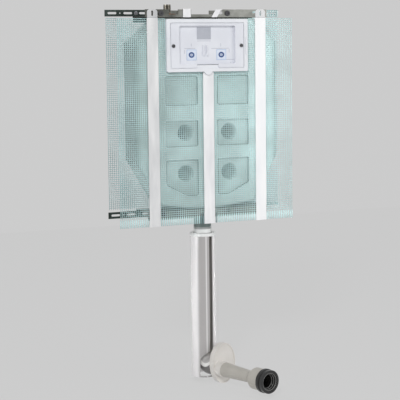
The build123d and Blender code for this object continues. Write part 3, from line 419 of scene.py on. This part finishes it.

# %% [markdown]
# The elbow under the flush pipe is glossy, and its dark grey is painted shade, since it sits in the shadow
# inside the sleeve. Its inner bend gets painted light that ends in a pale line, a painted highlight, and the
# heel behind the line keeps the dark tone. The line keeps one distance from the elbow's centre of curvature,
# so that distance decides where each tone shows.

# %% Painted highlight on the elbow
branch_turn = Vector((0.275637356, -0.961261696, 0))
branch_height = -914 * MM
elbow_radius = 28 * MM
line_from = (17 * MM, 19 * MM)
line_to = (25.5 * MM, 28.5 * MM)
inner_light_share = 0.55
elbow_light_tone = (240, 238, 236)
elbow_tree = elbow_shade_grey.node_tree
x, y, z = object_place(elbow_tree)
sideways_part = math_node(elbow_tree, "MULTIPLY", x, branch_turn.x)
forward_part = math_node(elbow_tree, "MULTIPLY", math_node(elbow_tree, "SUBTRACT", y, pipe_y), branch_turn.y)
along_branch = math_node(elbow_tree, "ADD", sideways_part, forward_part)
reach = math_node(elbow_tree, "SUBTRACT", along_branch, elbow_radius)
drop = math_node(elbow_tree, "SUBTRACT", z, branch_height + elbow_radius)
squares = [math_node(elbow_tree, "POWER", part, 2.0) for part in (reach, drop)]
from_centre = math_node(elbow_tree, "SQRT", math_node(elbow_tree, "ADD", *squares))
highlight_line_share = math_node(elbow_tree, "MULTIPLY", ramp(elbow_tree, from_centre, *line_from), 1 - inner_light_share)
inner_share = math_node(elbow_tree, "ADD", highlight_line_share, inner_light_share)
elbow_light_share = math_node(elbow_tree, "MULTIPLY", inner_share, fall(elbow_tree, from_centre, *line_to))
# painted light on the inner bend and a painted highlight line
tint(elbow_shade_grey, elbow_light_share, elbow_light_tone)
print("nodes in the elbow's finish:", len(elbow_tree.nodes))

# %% [markdown]
# The band of the front net hangs in the neck's shade, and it gets painted shade there. So the net's colour
# gets darker in front of the neck, from the neck's middle out to its radius.

# %% Painted shade on the net in front of the neck
neck_edge = (22.5 * MM, 24.5 * MM)
tank_foot = (500 * MM, 506 * MM)
net_neck_shade_share = 0.85
net_neck_shade_tone = (112, 142, 145)
net_tree = net_front.node_tree
x, y, z = object_place(net_tree)
over_neck = fall(net_tree, math_node(net_tree, "ABSOLUTE", x), *neck_edge)
below_tank = ramp(net_tree, math_node(net_tree, "MULTIPLY", z, -1.0), *tank_foot)
net_neck_shade = math_node(net_tree, "MULTIPLY", math_node(net_tree, "MULTIPLY", over_neck, below_tank), net_neck_shade_share)
# painted shade on the net over the neck
tint(net_front, net_neck_shade, net_neck_shade_tone)
print("nodes in the front net's finish:", len(net_tree.nodes))

# %% [markdown]
# The collar and the nut are one pale plastic. Just under the tank's neck the collar gets a ring of painted
# shadow, so there the tone gets darker with the height.

# %% Painted shadow ring on the outlet collar
neck_shadow_edge = (-550 * MM, -546 * MM)
neck_shadow_share = 0.70
neck_shadow_tone = (112, 118, 118)
collar_tree = outlet_light.node_tree
x, y, z = object_place(collar_tree)
under_neck = math_node(collar_tree, "MULTIPLY", ramp(collar_tree, z, *neck_shadow_edge), neck_shadow_share)
# painted shadow under the tank's neck
tint(outlet_light, under_neck, neck_shadow_tone)
print("nodes in the collar's finish:", len(collar_tree.nodes))

# %% [markdown]
# Each solid gets its finish by name. The solids themselves stay as they were packed, and only what is in
# their material slots changes.

# %% Give each solid its finish
finishes = {
    tank_plastic: ["tank_shell"],
    window_white: ["window_frame"],
    cover_white: ["service_cover", "cover_clips"],
    label_grey: ["cover_label"],
    field_pale: ["cover_fields"],
    clip_white: ["left_clip", "slanted_clip", "plug_screw"],
    valve_white: [
        "fill_valve_body", "float_lever", "lever_bracket", "valve_seat", "valve_cage", "overflow_stem",
    ],
    float_grey: ["fill_float"],
    lever_blue: ["full_flush_lever", "half_flush_lever", "half_flush_sleeve"],
    handle_blue: ["stop_handle"],
    screw_dark: ["cover_screw_left", "cover_screw_right", "lip_screws"],
    outlet_light: ["outlet_collar", "outlet_nut"],
    pipe_grey: ["flush_pipe"],
    rosette_white: ["rosette"],
    tube_grey: ["connecting_tube"],
    elbow_shade_grey: ["flush_bend"],
    sleeve_grey: ["pipe_sleeve"],
    seal_black: ["outlet_gasket", "valve_seal", "pan_seal"],
    net_front: ["front_net"],
    net_rear_shaded: ["rear_net"],
    rail_zinc: ["top_rail"],
    low_zinc: ["bottom_rail"],
    arm_dark: ["top_left_arm", "bottom_left_arm"],
    arm_bright: ["top_right_arm", "bottom_right_arm"],
    strap_left: ["left_strap"],
    strap_centre: ["centre_strap"],
    strap_right: ["right_strap"],
    screw_steel: ["rail_screws"],
    chromed: ["inlet_nipple"],
    copper_tone: ["inlet_collar"],
    valve_brass: ["stop_valve_body"],
}
dressed = set()
for material, names in finishes.items():
    for name in names:
        dressed.add(name)
        for material_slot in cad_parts[name].material_slots:
            material_slot.material = material
print("solids without a finish:", sorted(set(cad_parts) - dressed))

# %% [markdown]
# A plaster net is a lattice of thin plastic strands, about five millimetres apart. Drawing every strand by
# hand would be slow, so a node tree lays them out: a line of points for the uprights, another for the
# crosswise strands, and one small round bar on every point.
#
# The tree makes one right-angled panel of net. Its first upright and its first crosswise strand have inputs
# of their own, so that panels side by side share one lattice and look like one sheet. A net with a window
# or a step in its edge is then a few panels. The counts are floored inside the tree, so a panel never grows
# past its edge.

# %% One panel of net as a node tree


def panel_tree(name, material):
    """Build the tree that lays out a panel of net from its edges and its pitch."""
    tree = bpy.data.node_groups.new(name, "GeometryNodeTree")
    sizes = ("Left", "Right", "Top", "Bottom", "First upright", "First row", "Last row", "Pitch", "Strand")
    for size in sizes:
        tree.interface.new_socket(size, in_out="INPUT", socket_type="NodeSocketFloat")
    tree.interface.new_socket("Geometry", in_out="OUTPUT", socket_type="NodeSocketGeometry")
    given = tree.nodes.new("NodeGroupInput").outputs
    result = tree.nodes.new("NodeGroupOutput")
    join = tree.nodes.new("GeometryNodeJoinGeometry")
    realize = tree.nodes.new("GeometryNodeRealizeInstances")
    smooth = tree.nodes.new("GeometryNodeSetShadeSmooth")
    paint = tree.nodes.new("GeometryNodeSetMaterial")
    paint.inputs["Material"].default_value = material
    tree.links.new(join.outputs[0], realize.inputs[0])
    tree.links.new(realize.outputs[0], smooth.inputs["Geometry"])
    tree.links.new(smooth.outputs[0], paint.inputs["Geometry"])
    tree.links.new(paint.outputs[0], result.inputs[0])
    bar = tree.nodes.new("GeometryNodeMeshCylinder")
    bar.inputs["Vertices"].default_value = 6
    bar.inputs["Radius"].default_value = 0.5
    bar.inputs["Depth"].default_value = 1.0

    def strands(count, start, step, length, turn):
        """Put one stretched bar on each point of a line."""
        line = tree.nodes.new("GeometryNodeMeshLine")
        feed(tree, count, line.inputs["Count"])
        feed(tree, start, line.inputs["Start Location"])
        feed(tree, step, line.inputs["Offset"])
        bars = tree.nodes.new("GeometryNodeInstanceOnPoints")
        feed(tree, line.outputs[0], bars.inputs["Points"])
        feed(tree, bar.outputs[0], bars.inputs["Instance"])
        feed(tree, turn, bars.inputs["Rotation"])
        feed(tree, vector_node(tree, given["Strand"], given["Strand"], length), bars.inputs["Scale"])
        feed(tree, bars.outputs[0], join.inputs[0])

    def count_between(low, high):
        """Count the strands that fit from one place to another."""
        steps = math_node(tree, "DIVIDE", math_node(tree, "SUBTRACT", high, low), given["Pitch"])
        return math_node(tree, "ADD", math_node(tree, "FLOOR", steps), 1.0)

    def middle(low, high):
        """Give the place halfway between two places."""
        return math_node(tree, "MULTIPLY", math_node(tree, "ADD", low, high), 0.5)

    strands(
        count_between(given["First upright"], given["Right"]),
        vector_node(tree, given["First upright"], 0.0, middle(given["Bottom"], given["Top"])),
        vector_node(tree, given["Pitch"], 0.0, 0.0),
        math_node(tree, "SUBTRACT", given["Top"], given["Bottom"]),
        (0.0, 0.0, 0.0),
    )
    strands(
        count_between(given["Last row"], given["First row"]),
        vector_node(tree, middle(given["Left"], given["Right"]), 0.0, given["First row"]),
        vector_node(tree, 0.0, 0.0, math_node(tree, "MULTIPLY", given["Pitch"], -1.0)),
        math_node(tree, "SUBTRACT", given["Right"], given["Left"]),
        (0.0, pi / 2, 0.0),
    )
    return tree


net_finishes = {"front_net": net_front, "rear_net": net_rear_shaded}
net_trees = {name: panel_tree(name + "_panel", material) for name, material in net_finishes.items()}
print("nodes in a panel tree:", len(net_trees["front_net"].nodes))

# %% [markdown]
# A tree's result is kept as a plain mesh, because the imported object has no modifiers. The helper runs the
# tree on an empty object, takes the evaluated mesh and drops the modifier. A second helper joins several
# meshes into one object that stands at the origin.

# %% From node tree to plain mesh


def grown(tree, inputs):
    """Run a node tree with named inputs and give its result as a plain mesh."""
    seed = bpy.data.objects.new("seed", bpy.data.meshes.new("seed"))
    bpy.context.scene.collection.objects.link(seed)
    modifier = seed.modifiers.new("grow", "NODES")
    modifier.node_group = tree
    for item in tree.interface.items_tree:
        if item.in_out == "INPUT":
            modifier[item.identifier] = inputs[item.name]
    evaluated = seed.evaluated_get(bpy.context.evaluated_depsgraph_get())
    mesh = bpy.data.meshes.new_from_object(evaluated)
    seed.modifiers.clear()
    bpy.data.objects.remove(seed)
    return mesh


def joined(name, meshes, material):
    """Join meshes into one new object at the origin."""
    whole = bmesh.new()
    for mesh in meshes:
        whole.from_mesh(mesh)
    mesh = bpy.data.meshes.new(name)
    whole.to_mesh(mesh)
    whole.free()
    mesh.materials.append(material)
    piece = bpy.data.objects.new(name, mesh)
    bpy.context.scene.collection.objects.link(piece)
    return piece


print("mesh helpers ready")

# %% [markdown]
# Both nets run behind the straps from side to side. The front one is cut out round the window and ends
# below in a band of bare, thicker uprights. The rear one is taller at the right, where it covers the wall
# arms, and stops short of them at the left. Each net is listed here as its panels. The outer edges come from
# the solids' boxes.

# %% Panels of the two nets
net_pitch = 5.3 * MM
net_strand = 1.35 * MM
net_hem = 21 * MM
hem_strand = 3.1 * MM
window_half = 116 * MM
window_below = -136.5 * MM
arm_edge = 118 * MM
rear_step_top = 3.7 * MM
rear_step_bottom = -491 * MM
front_low, front_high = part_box("front_net")
rear_low, rear_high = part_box("rear_net")
half_strand = net_strand / 2
left = front_low[0] + half_strand
right = front_high[0] - half_strand
front_top, front_bottom = front_high[2] - half_strand, front_low[2] + half_strand
hem_top = front_bottom + net_hem
rear_top, rear_bottom = rear_high[2] - half_strand, rear_low[2] + half_strand
net_panels = {
    "front_net": [
        (left, -window_half, front_top, hem_top, net_strand),
        (-window_half, window_half, window_below, hem_top, net_strand),
        (window_half, right, front_top, hem_top, net_strand),
        (left, right, hem_top, front_bottom, hem_strand),
    ],
    "rear_net": [
        (left, -arm_edge, rear_step_top - half_strand, rear_step_bottom + half_strand, net_strand),
        (-arm_edge, arm_edge, rear_step_top - half_strand, rear_bottom, net_strand),
        (arm_edge, right, rear_top, rear_bottom, net_strand),
    ],
}
print("panels:", {name: len(panels) for name, panels in net_panels.items()})

# %% [markdown]
# The lattice starts at the left edge and at the highest top edge of each net. A panel's first strand is the
# first lattice line inside that panel. A small slack keeps a line that falls on the panel's very edge.

# %% Make the nets
lattice_slack = 0.001


def lattice_line(distance):
    """Give the first lattice line at or past a distance from the lattice's start."""
    return ceil(distance / net_pitch - lattice_slack) * net_pitch


for name, panels in net_panels.items():
    low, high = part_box(name)
    lattice_top = high[2] - half_strand
    meshes = []
    for panel_left, panel_right, top, bottom, strand in panels:
        row_room = 0.0 if strand == net_strand else top - bottom + net_pitch
        meshes.append(grown(net_trees[name], {
            "Left": panel_left,
            "Right": panel_right,
            "Top": top,
            "Bottom": bottom,
            "First upright": left + lattice_line(panel_left - left),
            "First row": lattice_top - lattice_line(lattice_top - top),
            "Last row": bottom + row_room,
            "Pitch": net_pitch,
            "Strand": strand,
        }))
    net = joined(name + "_strands", meshes, net_finishes[name])
    net.data.transform(Matrix.Translation((0, (low[1] + high[1]) / 2, 0)))
    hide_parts(name)
    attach(net, "frame")
    print(name, "faces:", len(net.data.polygons))

# %% [markdown]
# The cover carries small raised marks that tell the fitter where the cables and rods go. They are moulded
# lines and rings a fraction of a millimetre high, so a plain solid with a softened edge is enough. One
# helper makes a bar between two corners, and another makes a flat oval ring.

# %% Helpers for raised marks
ring_profile = ((0.0, 0.0), (0.15, 1.0), (0.85, 1.0), (1.0, 0.0))


def raised_bar(x_from, x_to, z_from, z_to, y_back, lift, soften):
    """Make a bar that stands out from a face that looks along -Y."""
    mesh = bpy.data.meshes.new("bar")
    work = bmesh.new()
    bmesh.ops.create_cube(work, size=1.0)
    for vertex in work.verts:
        vertex.co.x = (x_from + x_to) / 2 + vertex.co.x * (x_to - x_from)
        vertex.co.y = y_back - lift / 2 + vertex.co.y * lift
        vertex.co.z = (z_from + z_to) / 2 + vertex.co.z * (z_to - z_from)
    bmesh.ops.bevel(work, geom=work.edges[:], offset=soften, segments=1, affect="EDGES")
    bmesh.ops.recalc_face_normals(work, faces=work.faces[:])
    work.to_mesh(mesh)
    work.free()
    return mesh


def raised_ring(x, z, half_wide, half_tall, band, y_back, lift, steps=32):
    """Make a flat oval ring with a sloped rim, which stands out from a face that looks along -Y."""
    points = []
    for step in range(steps):
        angle = 2 * pi * step / steps
        for inward, out in ring_profile:
            wide = half_wide - band * inward
            tall = half_tall - band * inward
            points.append((x + wide * cos(angle), y_back - lift * out, z + tall * sin(angle)))
    sides = len(ring_profile)
    faces = []
    for step in range(steps):
        here, there = step * sides, (step + 1) % steps * sides
        for side in range(sides):
            after = (side + 1) % sides
            faces.append((here + side, here + after, there + after, there + side))
    mesh = bpy.data.meshes.new("ring")
    work = bmesh.new()
    corners = [work.verts.new(point) for point in points]
    for face in faces:
        work.faces.new([corners[index] for index in face])
    bmesh.ops.recalc_face_normals(work, faces=work.faces[:])
    work.to_mesh(mesh)
    work.free()
    return mesh


print("mark helpers ready")

# %% [markdown]
# Over each flush rod the cover has a pale square with a blue border, and on it a dark blue ring round a
# pale middle. The rings are plain signs for a rod's hole, with no maker's design in them.

# %% Borders and rings of the two fields
field_low, field_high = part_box("cover_fields")
field_front = field_low[1]
field_back = field_high[1]
field_half = 13.5 * MM
field_middles = {"left": (-44 * MM, -93 * MM), "right": (39.5 * MM, -93 * MM)}
border_band = 1.2 * MM
border_soft = 0.05 * MM
mark_lift = 0.25 * MM
outer_ring = (8.2 * MM, 7.4 * MM, 4.2 * MM)
inner_ring = (2.4 * MM, 2.0 * MM, 1.0 * MM)
border_meshes = []
ring_meshes = []
for x, z in field_middles.values():
    x_low, x_high = x - field_half, x + field_half
    z_low, z_high = field_low[2], field_high[2]
    for edges in (
        (x_low, x_high, z_high - border_band, z_high),
        (x_low, x_high, z_low, z_low + border_band),
        (x_low, x_low + border_band, z_low + border_band, z_high - border_band),
        (x_high - border_band, x_high, z_low + border_band, z_high - border_band),
    ):
        border_meshes.append(raised_bar(*edges, field_front, mark_lift, border_soft))
    ring_meshes.append(raised_ring(x, z, *outer_ring, field_front, 2 * mark_lift))
    ring_meshes.append(raised_ring(x, z, *inner_ring, field_front, mark_lift))
for name, meshes, material, slot_name in (
    ("field_borders", border_meshes, border_blue, "field_pale"),
    ("field_rings", ring_meshes, icon_blue, "handle_blue"),
):
    piece = joined(name, meshes, material)
    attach(piece, "cover")
    print(name, "faces:", len(piece.data.polygons))

# %% [markdown]
# Thin lines run above the fields and at the lower right, with a short tick over each field. They guide the
# knife when the fitter trims the cover, and from a step away they read as pale grey strokes.

# %% Guide lines on the cover
line_width = 0.9 * MM
line_lift = 0.4 * MM
line_soft = 0.1 * MM
guide_lines = (
    (-63.5, -33.5, -76.2), (12.0, 62.0, -76.8), (52.5, 76.0, -105.6), (-28.0, 10.0, -57.6),
)
guide_ticks = (
    (-44.3, -71.5, -64.1), (38.5, -72.0, -63.5), (62.0, -88.0, -78.5), (73.5, -116.0, -112.5),
    (-63.0, -90.0, -80.5), (66.5, -115.0, -112.0),
)
half_line = line_width / 2
line_meshes = []
for x_from, x_to, z in guide_lines:
    edges = (x_from * MM, x_to * MM, z * MM - half_line, z * MM + half_line)
    line_meshes.append(raised_bar(*edges, field_back, line_lift, line_soft))
for x, z_from, z_to in guide_ticks:
    edges = (x * MM - half_line, x * MM + half_line, z_from * MM, z_to * MM)
    line_meshes.append(raised_bar(*edges, field_back, line_lift, line_soft))
guides = joined("cover_guides", line_meshes, line_grey)
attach(guides, "cover")
print("guide lines:", len(line_meshes))

# %% [markdown]
# Blow moulding leaves a soft bead round each pressed-in panel of the tank, where the sheet was drawn over
# the mould's edge. The bead follows the panel's outline: straight sides and rounded corners, and a lower
# edge that slopes in the lowest row. A second, dark bead just inside it is painted shade, the shadow line of
# the panel's edge. One helper rounds an outline's corners, and another sweeps a small round bead along it.

# %% Beads round the tank's panels


def rounded(corners, radius, steps=5):
    """Turn a closed outline of (x, z) corners into points with rounded corners."""
    points = []
    count = len(corners)
    for index, corner in enumerate(corners):
        here = Vector(corner)
        before = (Vector(corners[index - 1]) - here).normalized()
        after = (Vector(corners[(index + 1) % count]) - here).normalized()
        start, end = here + before * radius, here + after * radius
        for step in range(steps + 1):
            share = step / steps
            points.append(start.lerp(here, share).lerp(here.lerp(end, share), share))
    return points


def bead(points, y, radius, sides=6):
    """Sweep a round bead along a closed outline in the plane of the tank's front."""
    work = bmesh.new()
    rings = []
    count = len(points)
    for index, point in enumerate(points):
        along = (points[(index + 1) % count] - points[index - 1]).normalized()
        out = Vector((-along.y, along.x))
        ring = []
        for side in range(sides):
            angle = 2 * pi * side / sides
            flat = point + out * radius * cos(angle)
            ring.append(work.verts.new((flat.x, y + radius * sin(angle), flat.y)))
        rings.append(ring)
    for index, ring in enumerate(rings):
        following = rings[(index + 1) % count]
        for side in range(sides):
            after = (side + 1) % sides
            work.faces.new([ring[side], ring[after], following[after], following[side]])
    bmesh.ops.recalc_face_normals(work, faces=work.faces[:])
    for face in work.faces:
        face.smooth = True
    mesh = bpy.data.meshes.new("bead")
    work.to_mesh(mesh)
    work.free()
    return mesh


tank_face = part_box("tank_shell")[0][1]
panel_inner = 27 * MM
panel_outer = 118 * MM
panel_rows = ((-146, -222), (-259, -328), (-360, -456))
panel_cut = 30 * MM
panel_corner = 6 * MM
bead_radius = 0.9 * MM
bead_sunk_share = 0.2
bead_offsets = {"panel_beads": -0.6 * MM, "panel_edge_shadows": 1.2 * MM}
bead_meshes = {name: [] for name in bead_offsets}
for side in (-1, 1):
    middle_x = side * (panel_inner + panel_outer) / 2
    for row, (top, bottom) in enumerate(panel_rows):
        top, bottom = top * MM, bottom * MM
        middle_z = (top + bottom) / 2
        outline = [(side * panel_inner, bottom), (side * panel_inner, top), (side * panel_outer, top)]
        if row == len(panel_rows) - 1:
            slope_end = side * (panel_outer - 2 * panel_cut)
            outline += [(side * panel_outer, bottom + panel_cut), (slope_end, bottom)]
        else:
            outline += [(side * panel_outer, bottom)]
        for name, inset in bead_offsets.items():
            drawn_in = [
                (x - inset * (1 if x > middle_x else -1), z - inset * (1 if z > middle_z else -1))
                for x, z in outline
            ]
            path = rounded(drawn_in, panel_corner)
            bead_meshes[name].append(bead(path, tank_face + bead_radius * bead_sunk_share, bead_radius))
# the dark bead is painted shade along each panel's edge
for name, material in (("panel_beads", bead_pale), ("panel_edge_shadows", bead_shade)):
    beads = joined(name, bead_meshes[name], material)
    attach(beads, "frame")
    print(name, "faces:", len(beads.data.polygons))

# %% [markdown]
# The lower rail is held to its straps by two flat screws whose heads lie just under the net. The heads are
# thin dark discs with a small socket.

# %% Flat screws of the lower rail
low_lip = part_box("bottom_rail")[0][1]
flat_places = (-127 * MM, 57 * MM)
flat_height = -499 * MM
flat_radius = 5.4 * MM
flat_band = 3.6 * MM
flat_lift = 0.25 * MM
flat_heads = [
    raised_ring(x, flat_height, flat_radius, flat_radius, flat_band, low_lip, flat_lift) for x in flat_places
]
flat_screws = joined("low_lip_screws", flat_heads, screw_dark)
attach(flat_screws, "frame")
print("flat screws:", len(flat_heads))

# %% [markdown]
# The inlet nipple has an outside thread for the supply hose. It is one ridge that winds up the nipple, so a
# formula gives its points: an angle that grows evenly and a height that grows with it. The ridge fades in
# and out at its ends, as a rolled thread does.

# %% Thread of the inlet nipple
nipple_low, nipple_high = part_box("inlet_nipple")
nipple_x = (nipple_low[0] + nipple_high[0]) / 2
nipple_y = (nipple_low[1] + nipple_high[1]) / 2
nipple_radius = 9.2 * MM
thread_pitch = 1.9 * MM
thread_height = 0.7 * MM
thread_from = nipple_low[2] + 4.5 * MM
thread_to = nipple_high[2] - 2.0 * MM
ridge_shares = ((-0.1, -0.42), (1.0, -0.08), (1.0, 0.08), (-0.1, 0.42))
fade_turns = 0.5
steps_per_turn = 40
step_count = int((thread_to - thread_from) / thread_pitch * steps_per_turn)
thread_work = bmesh.new()
thread_sections = []
for step in range(step_count + 1):
    turns = step / steps_per_turn
    turns_left = (step_count - step) / steps_per_turn
    fade = min(1.0, turns / fade_turns, turns_left / fade_turns)
    angle = 2 * pi * turns
    section = []
    for out, up in ridge_shares:
        radius = nipple_radius + thread_height * (out * fade if out > 0 else out)
        height = thread_from + thread_pitch * (turns + up)
        section.append(thread_work.verts.new((
            nipple_x + radius * cos(angle), nipple_y + radius * sin(angle), height
        )))
    thread_sections.append(section)
for here, there in zip(thread_sections, thread_sections[1:]):
    for side in range(len(here)):
        after = (side + 1) % len(here)
        thread_work.faces.new([here[side], here[after], there[after], there[side]])
thread_work.faces.new(thread_sections[0][::-1])
thread_work.faces.new(thread_sections[-1])
bmesh.ops.recalc_face_normals(thread_work, faces=thread_work.faces[:])
thread_mesh = bpy.data.meshes.new("inlet_thread")
thread_work.to_mesh(thread_mesh)
thread_work.free()
thread = joined("inlet_thread", [thread_mesh], chromed)
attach(thread, "frame")
print("thread turns:", round(step_count / steps_per_turn, 1))

# %% [markdown]
# The pan seal grips the pan's spigot with soft lips inside its mouth. Each lip is a rubber ring on the
# cone of the mouth, so its radius follows from its depth along the branch. The rings are made from the
# formula of a torus, turned to the branch's direction.

# %% Lips of the pan seal
branch_side = Vector((0.961261696, 0.275637356, 0))
lip_steps, lip_sides = 48, 8
lip_rings = ((258.5, 22.3, 1.3), (253.0, 20.2, 1.2), (247.5, 18.2, 1.1))
lip_work = bmesh.new()
for distance, lip_radius, lip_thickness in lip_rings:
    centre = Vector((0, pipe_y, branch_height)) + branch_turn * distance * MM
    rings = []
    for step in range(lip_steps):
        around = 2 * pi * step / lip_steps
        spoke = branch_side * cos(around) + Vector((0, 0, 1)) * sin(around)
        ring = []
        for side in range(lip_sides):
            angle = 2 * pi * side / lip_sides
            reach = (lip_radius + lip_thickness * cos(angle)) * MM
            deep = branch_turn * lip_thickness * sin(angle) * MM
            ring.append(lip_work.verts.new(centre + spoke * reach + deep))
        rings.append(ring)
    for index, ring in enumerate(rings):
        following = rings[(index + 1) % lip_steps]
        for side in range(lip_sides):
            after = (side + 1) % lip_sides
            face = lip_work.faces.new([ring[side], ring[after], following[after], following[side]])
            face.smooth = True
bmesh.ops.recalc_face_normals(lip_work, faces=lip_work.faces[:])
lip_mesh = bpy.data.meshes.new("seal_lips")
lip_work.to_mesh(lip_mesh)
lip_work.free()
# the lips' lighter grey is a painted highlight on the black rubber
lips = joined("seal_lips", [lip_mesh], lip_highlight_grey)
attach(lips, "connector")
print("lips' faces:", len(lips.data.polygons))

# %% [markdown]
# A pale floor and a far wall in one bent sheet carry the shadow and fill the view. Most of the sheet's
# light is its own, so that it stays even from edge to edge, and the rest takes the shadow.

# %% Floor and backdrop
paper_tone = (209, 209, 209)
paper_share = 0.15
paper = bpy.data.materials.new("paper")
paper.use_nodes = True
paper_nodes = paper.node_tree.nodes
paper_links = paper.node_tree.links
paper_nodes.remove(paper_nodes["Principled BSDF"])
paper_glow = paper_nodes.new("ShaderNodeEmission")
paper_glow.inputs["Color"].default_value = shade(*paper_tone)
paper_matte = paper_nodes.new("ShaderNodeBsdfDiffuse")
paper_matte.inputs["Color"].default_value = shade(*paper_tone)
paper_mix = paper_nodes.new("ShaderNodeMixShader")
paper_mix.inputs["Fac"].default_value = paper_share
paper_links.new(paper_glow.outputs[0], paper_mix.inputs[1])
paper_links.new(paper_matte.outputs[0], paper_mix.inputs[2])
paper_links.new(paper_mix.outputs[0], paper_nodes["Material Output"].inputs["Surface"])

floor_gap = 1 * MM
floor_z = cad_box[0][2] - floor_gap
floor_half = 6.0
floor_back = 3.0
floor_front = -7.0
wall_top = 4.0
floor_mesh = bpy.data.meshes.new("floor")
floor_mesh.from_pydata(
    [
        (-floor_half, floor_front, floor_z), (floor_half, floor_front, floor_z),
        (floor_half, floor_back, floor_z), (-floor_half, floor_back, floor_z),
        (floor_half, floor_back, wall_top), (-floor_half, floor_back, wall_top),
    ],
    [],
    [(0, 1, 2, 3), (3, 2, 4, 5)],
)
floor = bpy.data.objects.new("floor", floor_mesh)
floor_mesh.materials.append(paper)
bpy.context.scene.collection.objects.link(floor)
print("floor at", round(floor_z, 3))

# %% [markdown]
# Three soft lights do the work. The key stands high on the left and draws the small shadows of the window
# frame. A broad fill stands nearer on the right, so the front brightens a little from left to right. A
# light from above picks out the rail. A tall strip on the far left is seen only in reflections: it draws
# the bright band along the sleeve, as a studio's side box would. Two narrow beams from behind lift the
# sleeve's edges off the paper.

# %% Soft studio light


def lamp(name, place, aim, wide, tall, watts):
    """Add a soft light at a place, turned to its aim."""
    data = bpy.data.lights.new(name, "AREA")
    data.shape = "RECTANGLE"
    data.size = wide
    data.size_y = tall
    data.energy = watts
    lamp_object = bpy.data.objects.new(name, data)
    bpy.context.scene.collection.objects.link(lamp_object)
    lamp_object.location = place
    lamp_object.rotation_euler = (Vector(aim) - Vector(place)).to_track_quat("-Z", "Y").to_euler()
    return lamp_object


object_middle = (0, -0.05, -0.35)
sleeve_middle = (0, -0.044, -0.74)
lamp("key", (-2.4, -3.8, 2.0), object_middle, 0.8, 0.8, 118)
lamp("fill", (1.7, -2.4, -0.1), object_middle, 1.8, 1.8, 20)
lamp("top", (0, -0.4, 3.0), object_middle, 1.6, 1.6, 12)
strip = lamp("strip", (-2.6, -0.6, -0.7), (0, -0.05, -0.7), 1.3, 3.0, 70)
strip.visible_diffuse = False
edge_side = 1.2
edge_size = 0.25
for name, side, watts in (("edge_left", -1, 0.04), ("edge_right", 1, 0.10)):
    edge = lamp(name, (side * edge_side, 0.35, -0.72), sleeve_middle, edge_size, edge_size, watts)
    edge.data.spread = radians(15)
    edge.visible_glossy = False

# %% [markdown]
# The room around the set gives an even, slightly cool light. The camera and the reflections see the same
# pale paper all round, so the background stays one tone from every side and metal shows it too. Only the
# light that falls on the object comes from the dimmer room, so pale plastic doesn't wash out.

# %% Room light
room_strength = 0.30
world = bpy.data.worlds.new("world")
world.use_nodes = True
world_nodes = world.node_tree.nodes
world_links = world.node_tree.links
room = world_nodes["Background"]
room.inputs["Color"].default_value = shade(236, 238, 241)
room.inputs["Strength"].default_value = room_strength
pale_room = world_nodes.new("ShaderNodeBackground")
pale_room.inputs["Color"].default_value = shade(204, 204, 204)
ray = world_nodes.new("ShaderNodeLightPath")
seen = math_node(world.node_tree, "MAXIMUM", ray.outputs["Is Camera Ray"], ray.outputs["Is Glossy Ray"])
seen = math_node(world.node_tree, "MAXIMUM", seen, ray.outputs["Is Transmission Ray"])
room_mix = world_nodes.new("ShaderNodeMixShader")
world_links.new(seen, room_mix.inputs["Fac"])
world_links.new(room.outputs[0], room_mix.inputs[1])
world_links.new(pale_room.outputs[0], room_mix.inputs[2])
world_links.new(room_mix.outputs[0], world_nodes["World Output"].inputs["Surface"])
bpy.context.scene.world = world
print("world:", world.name)
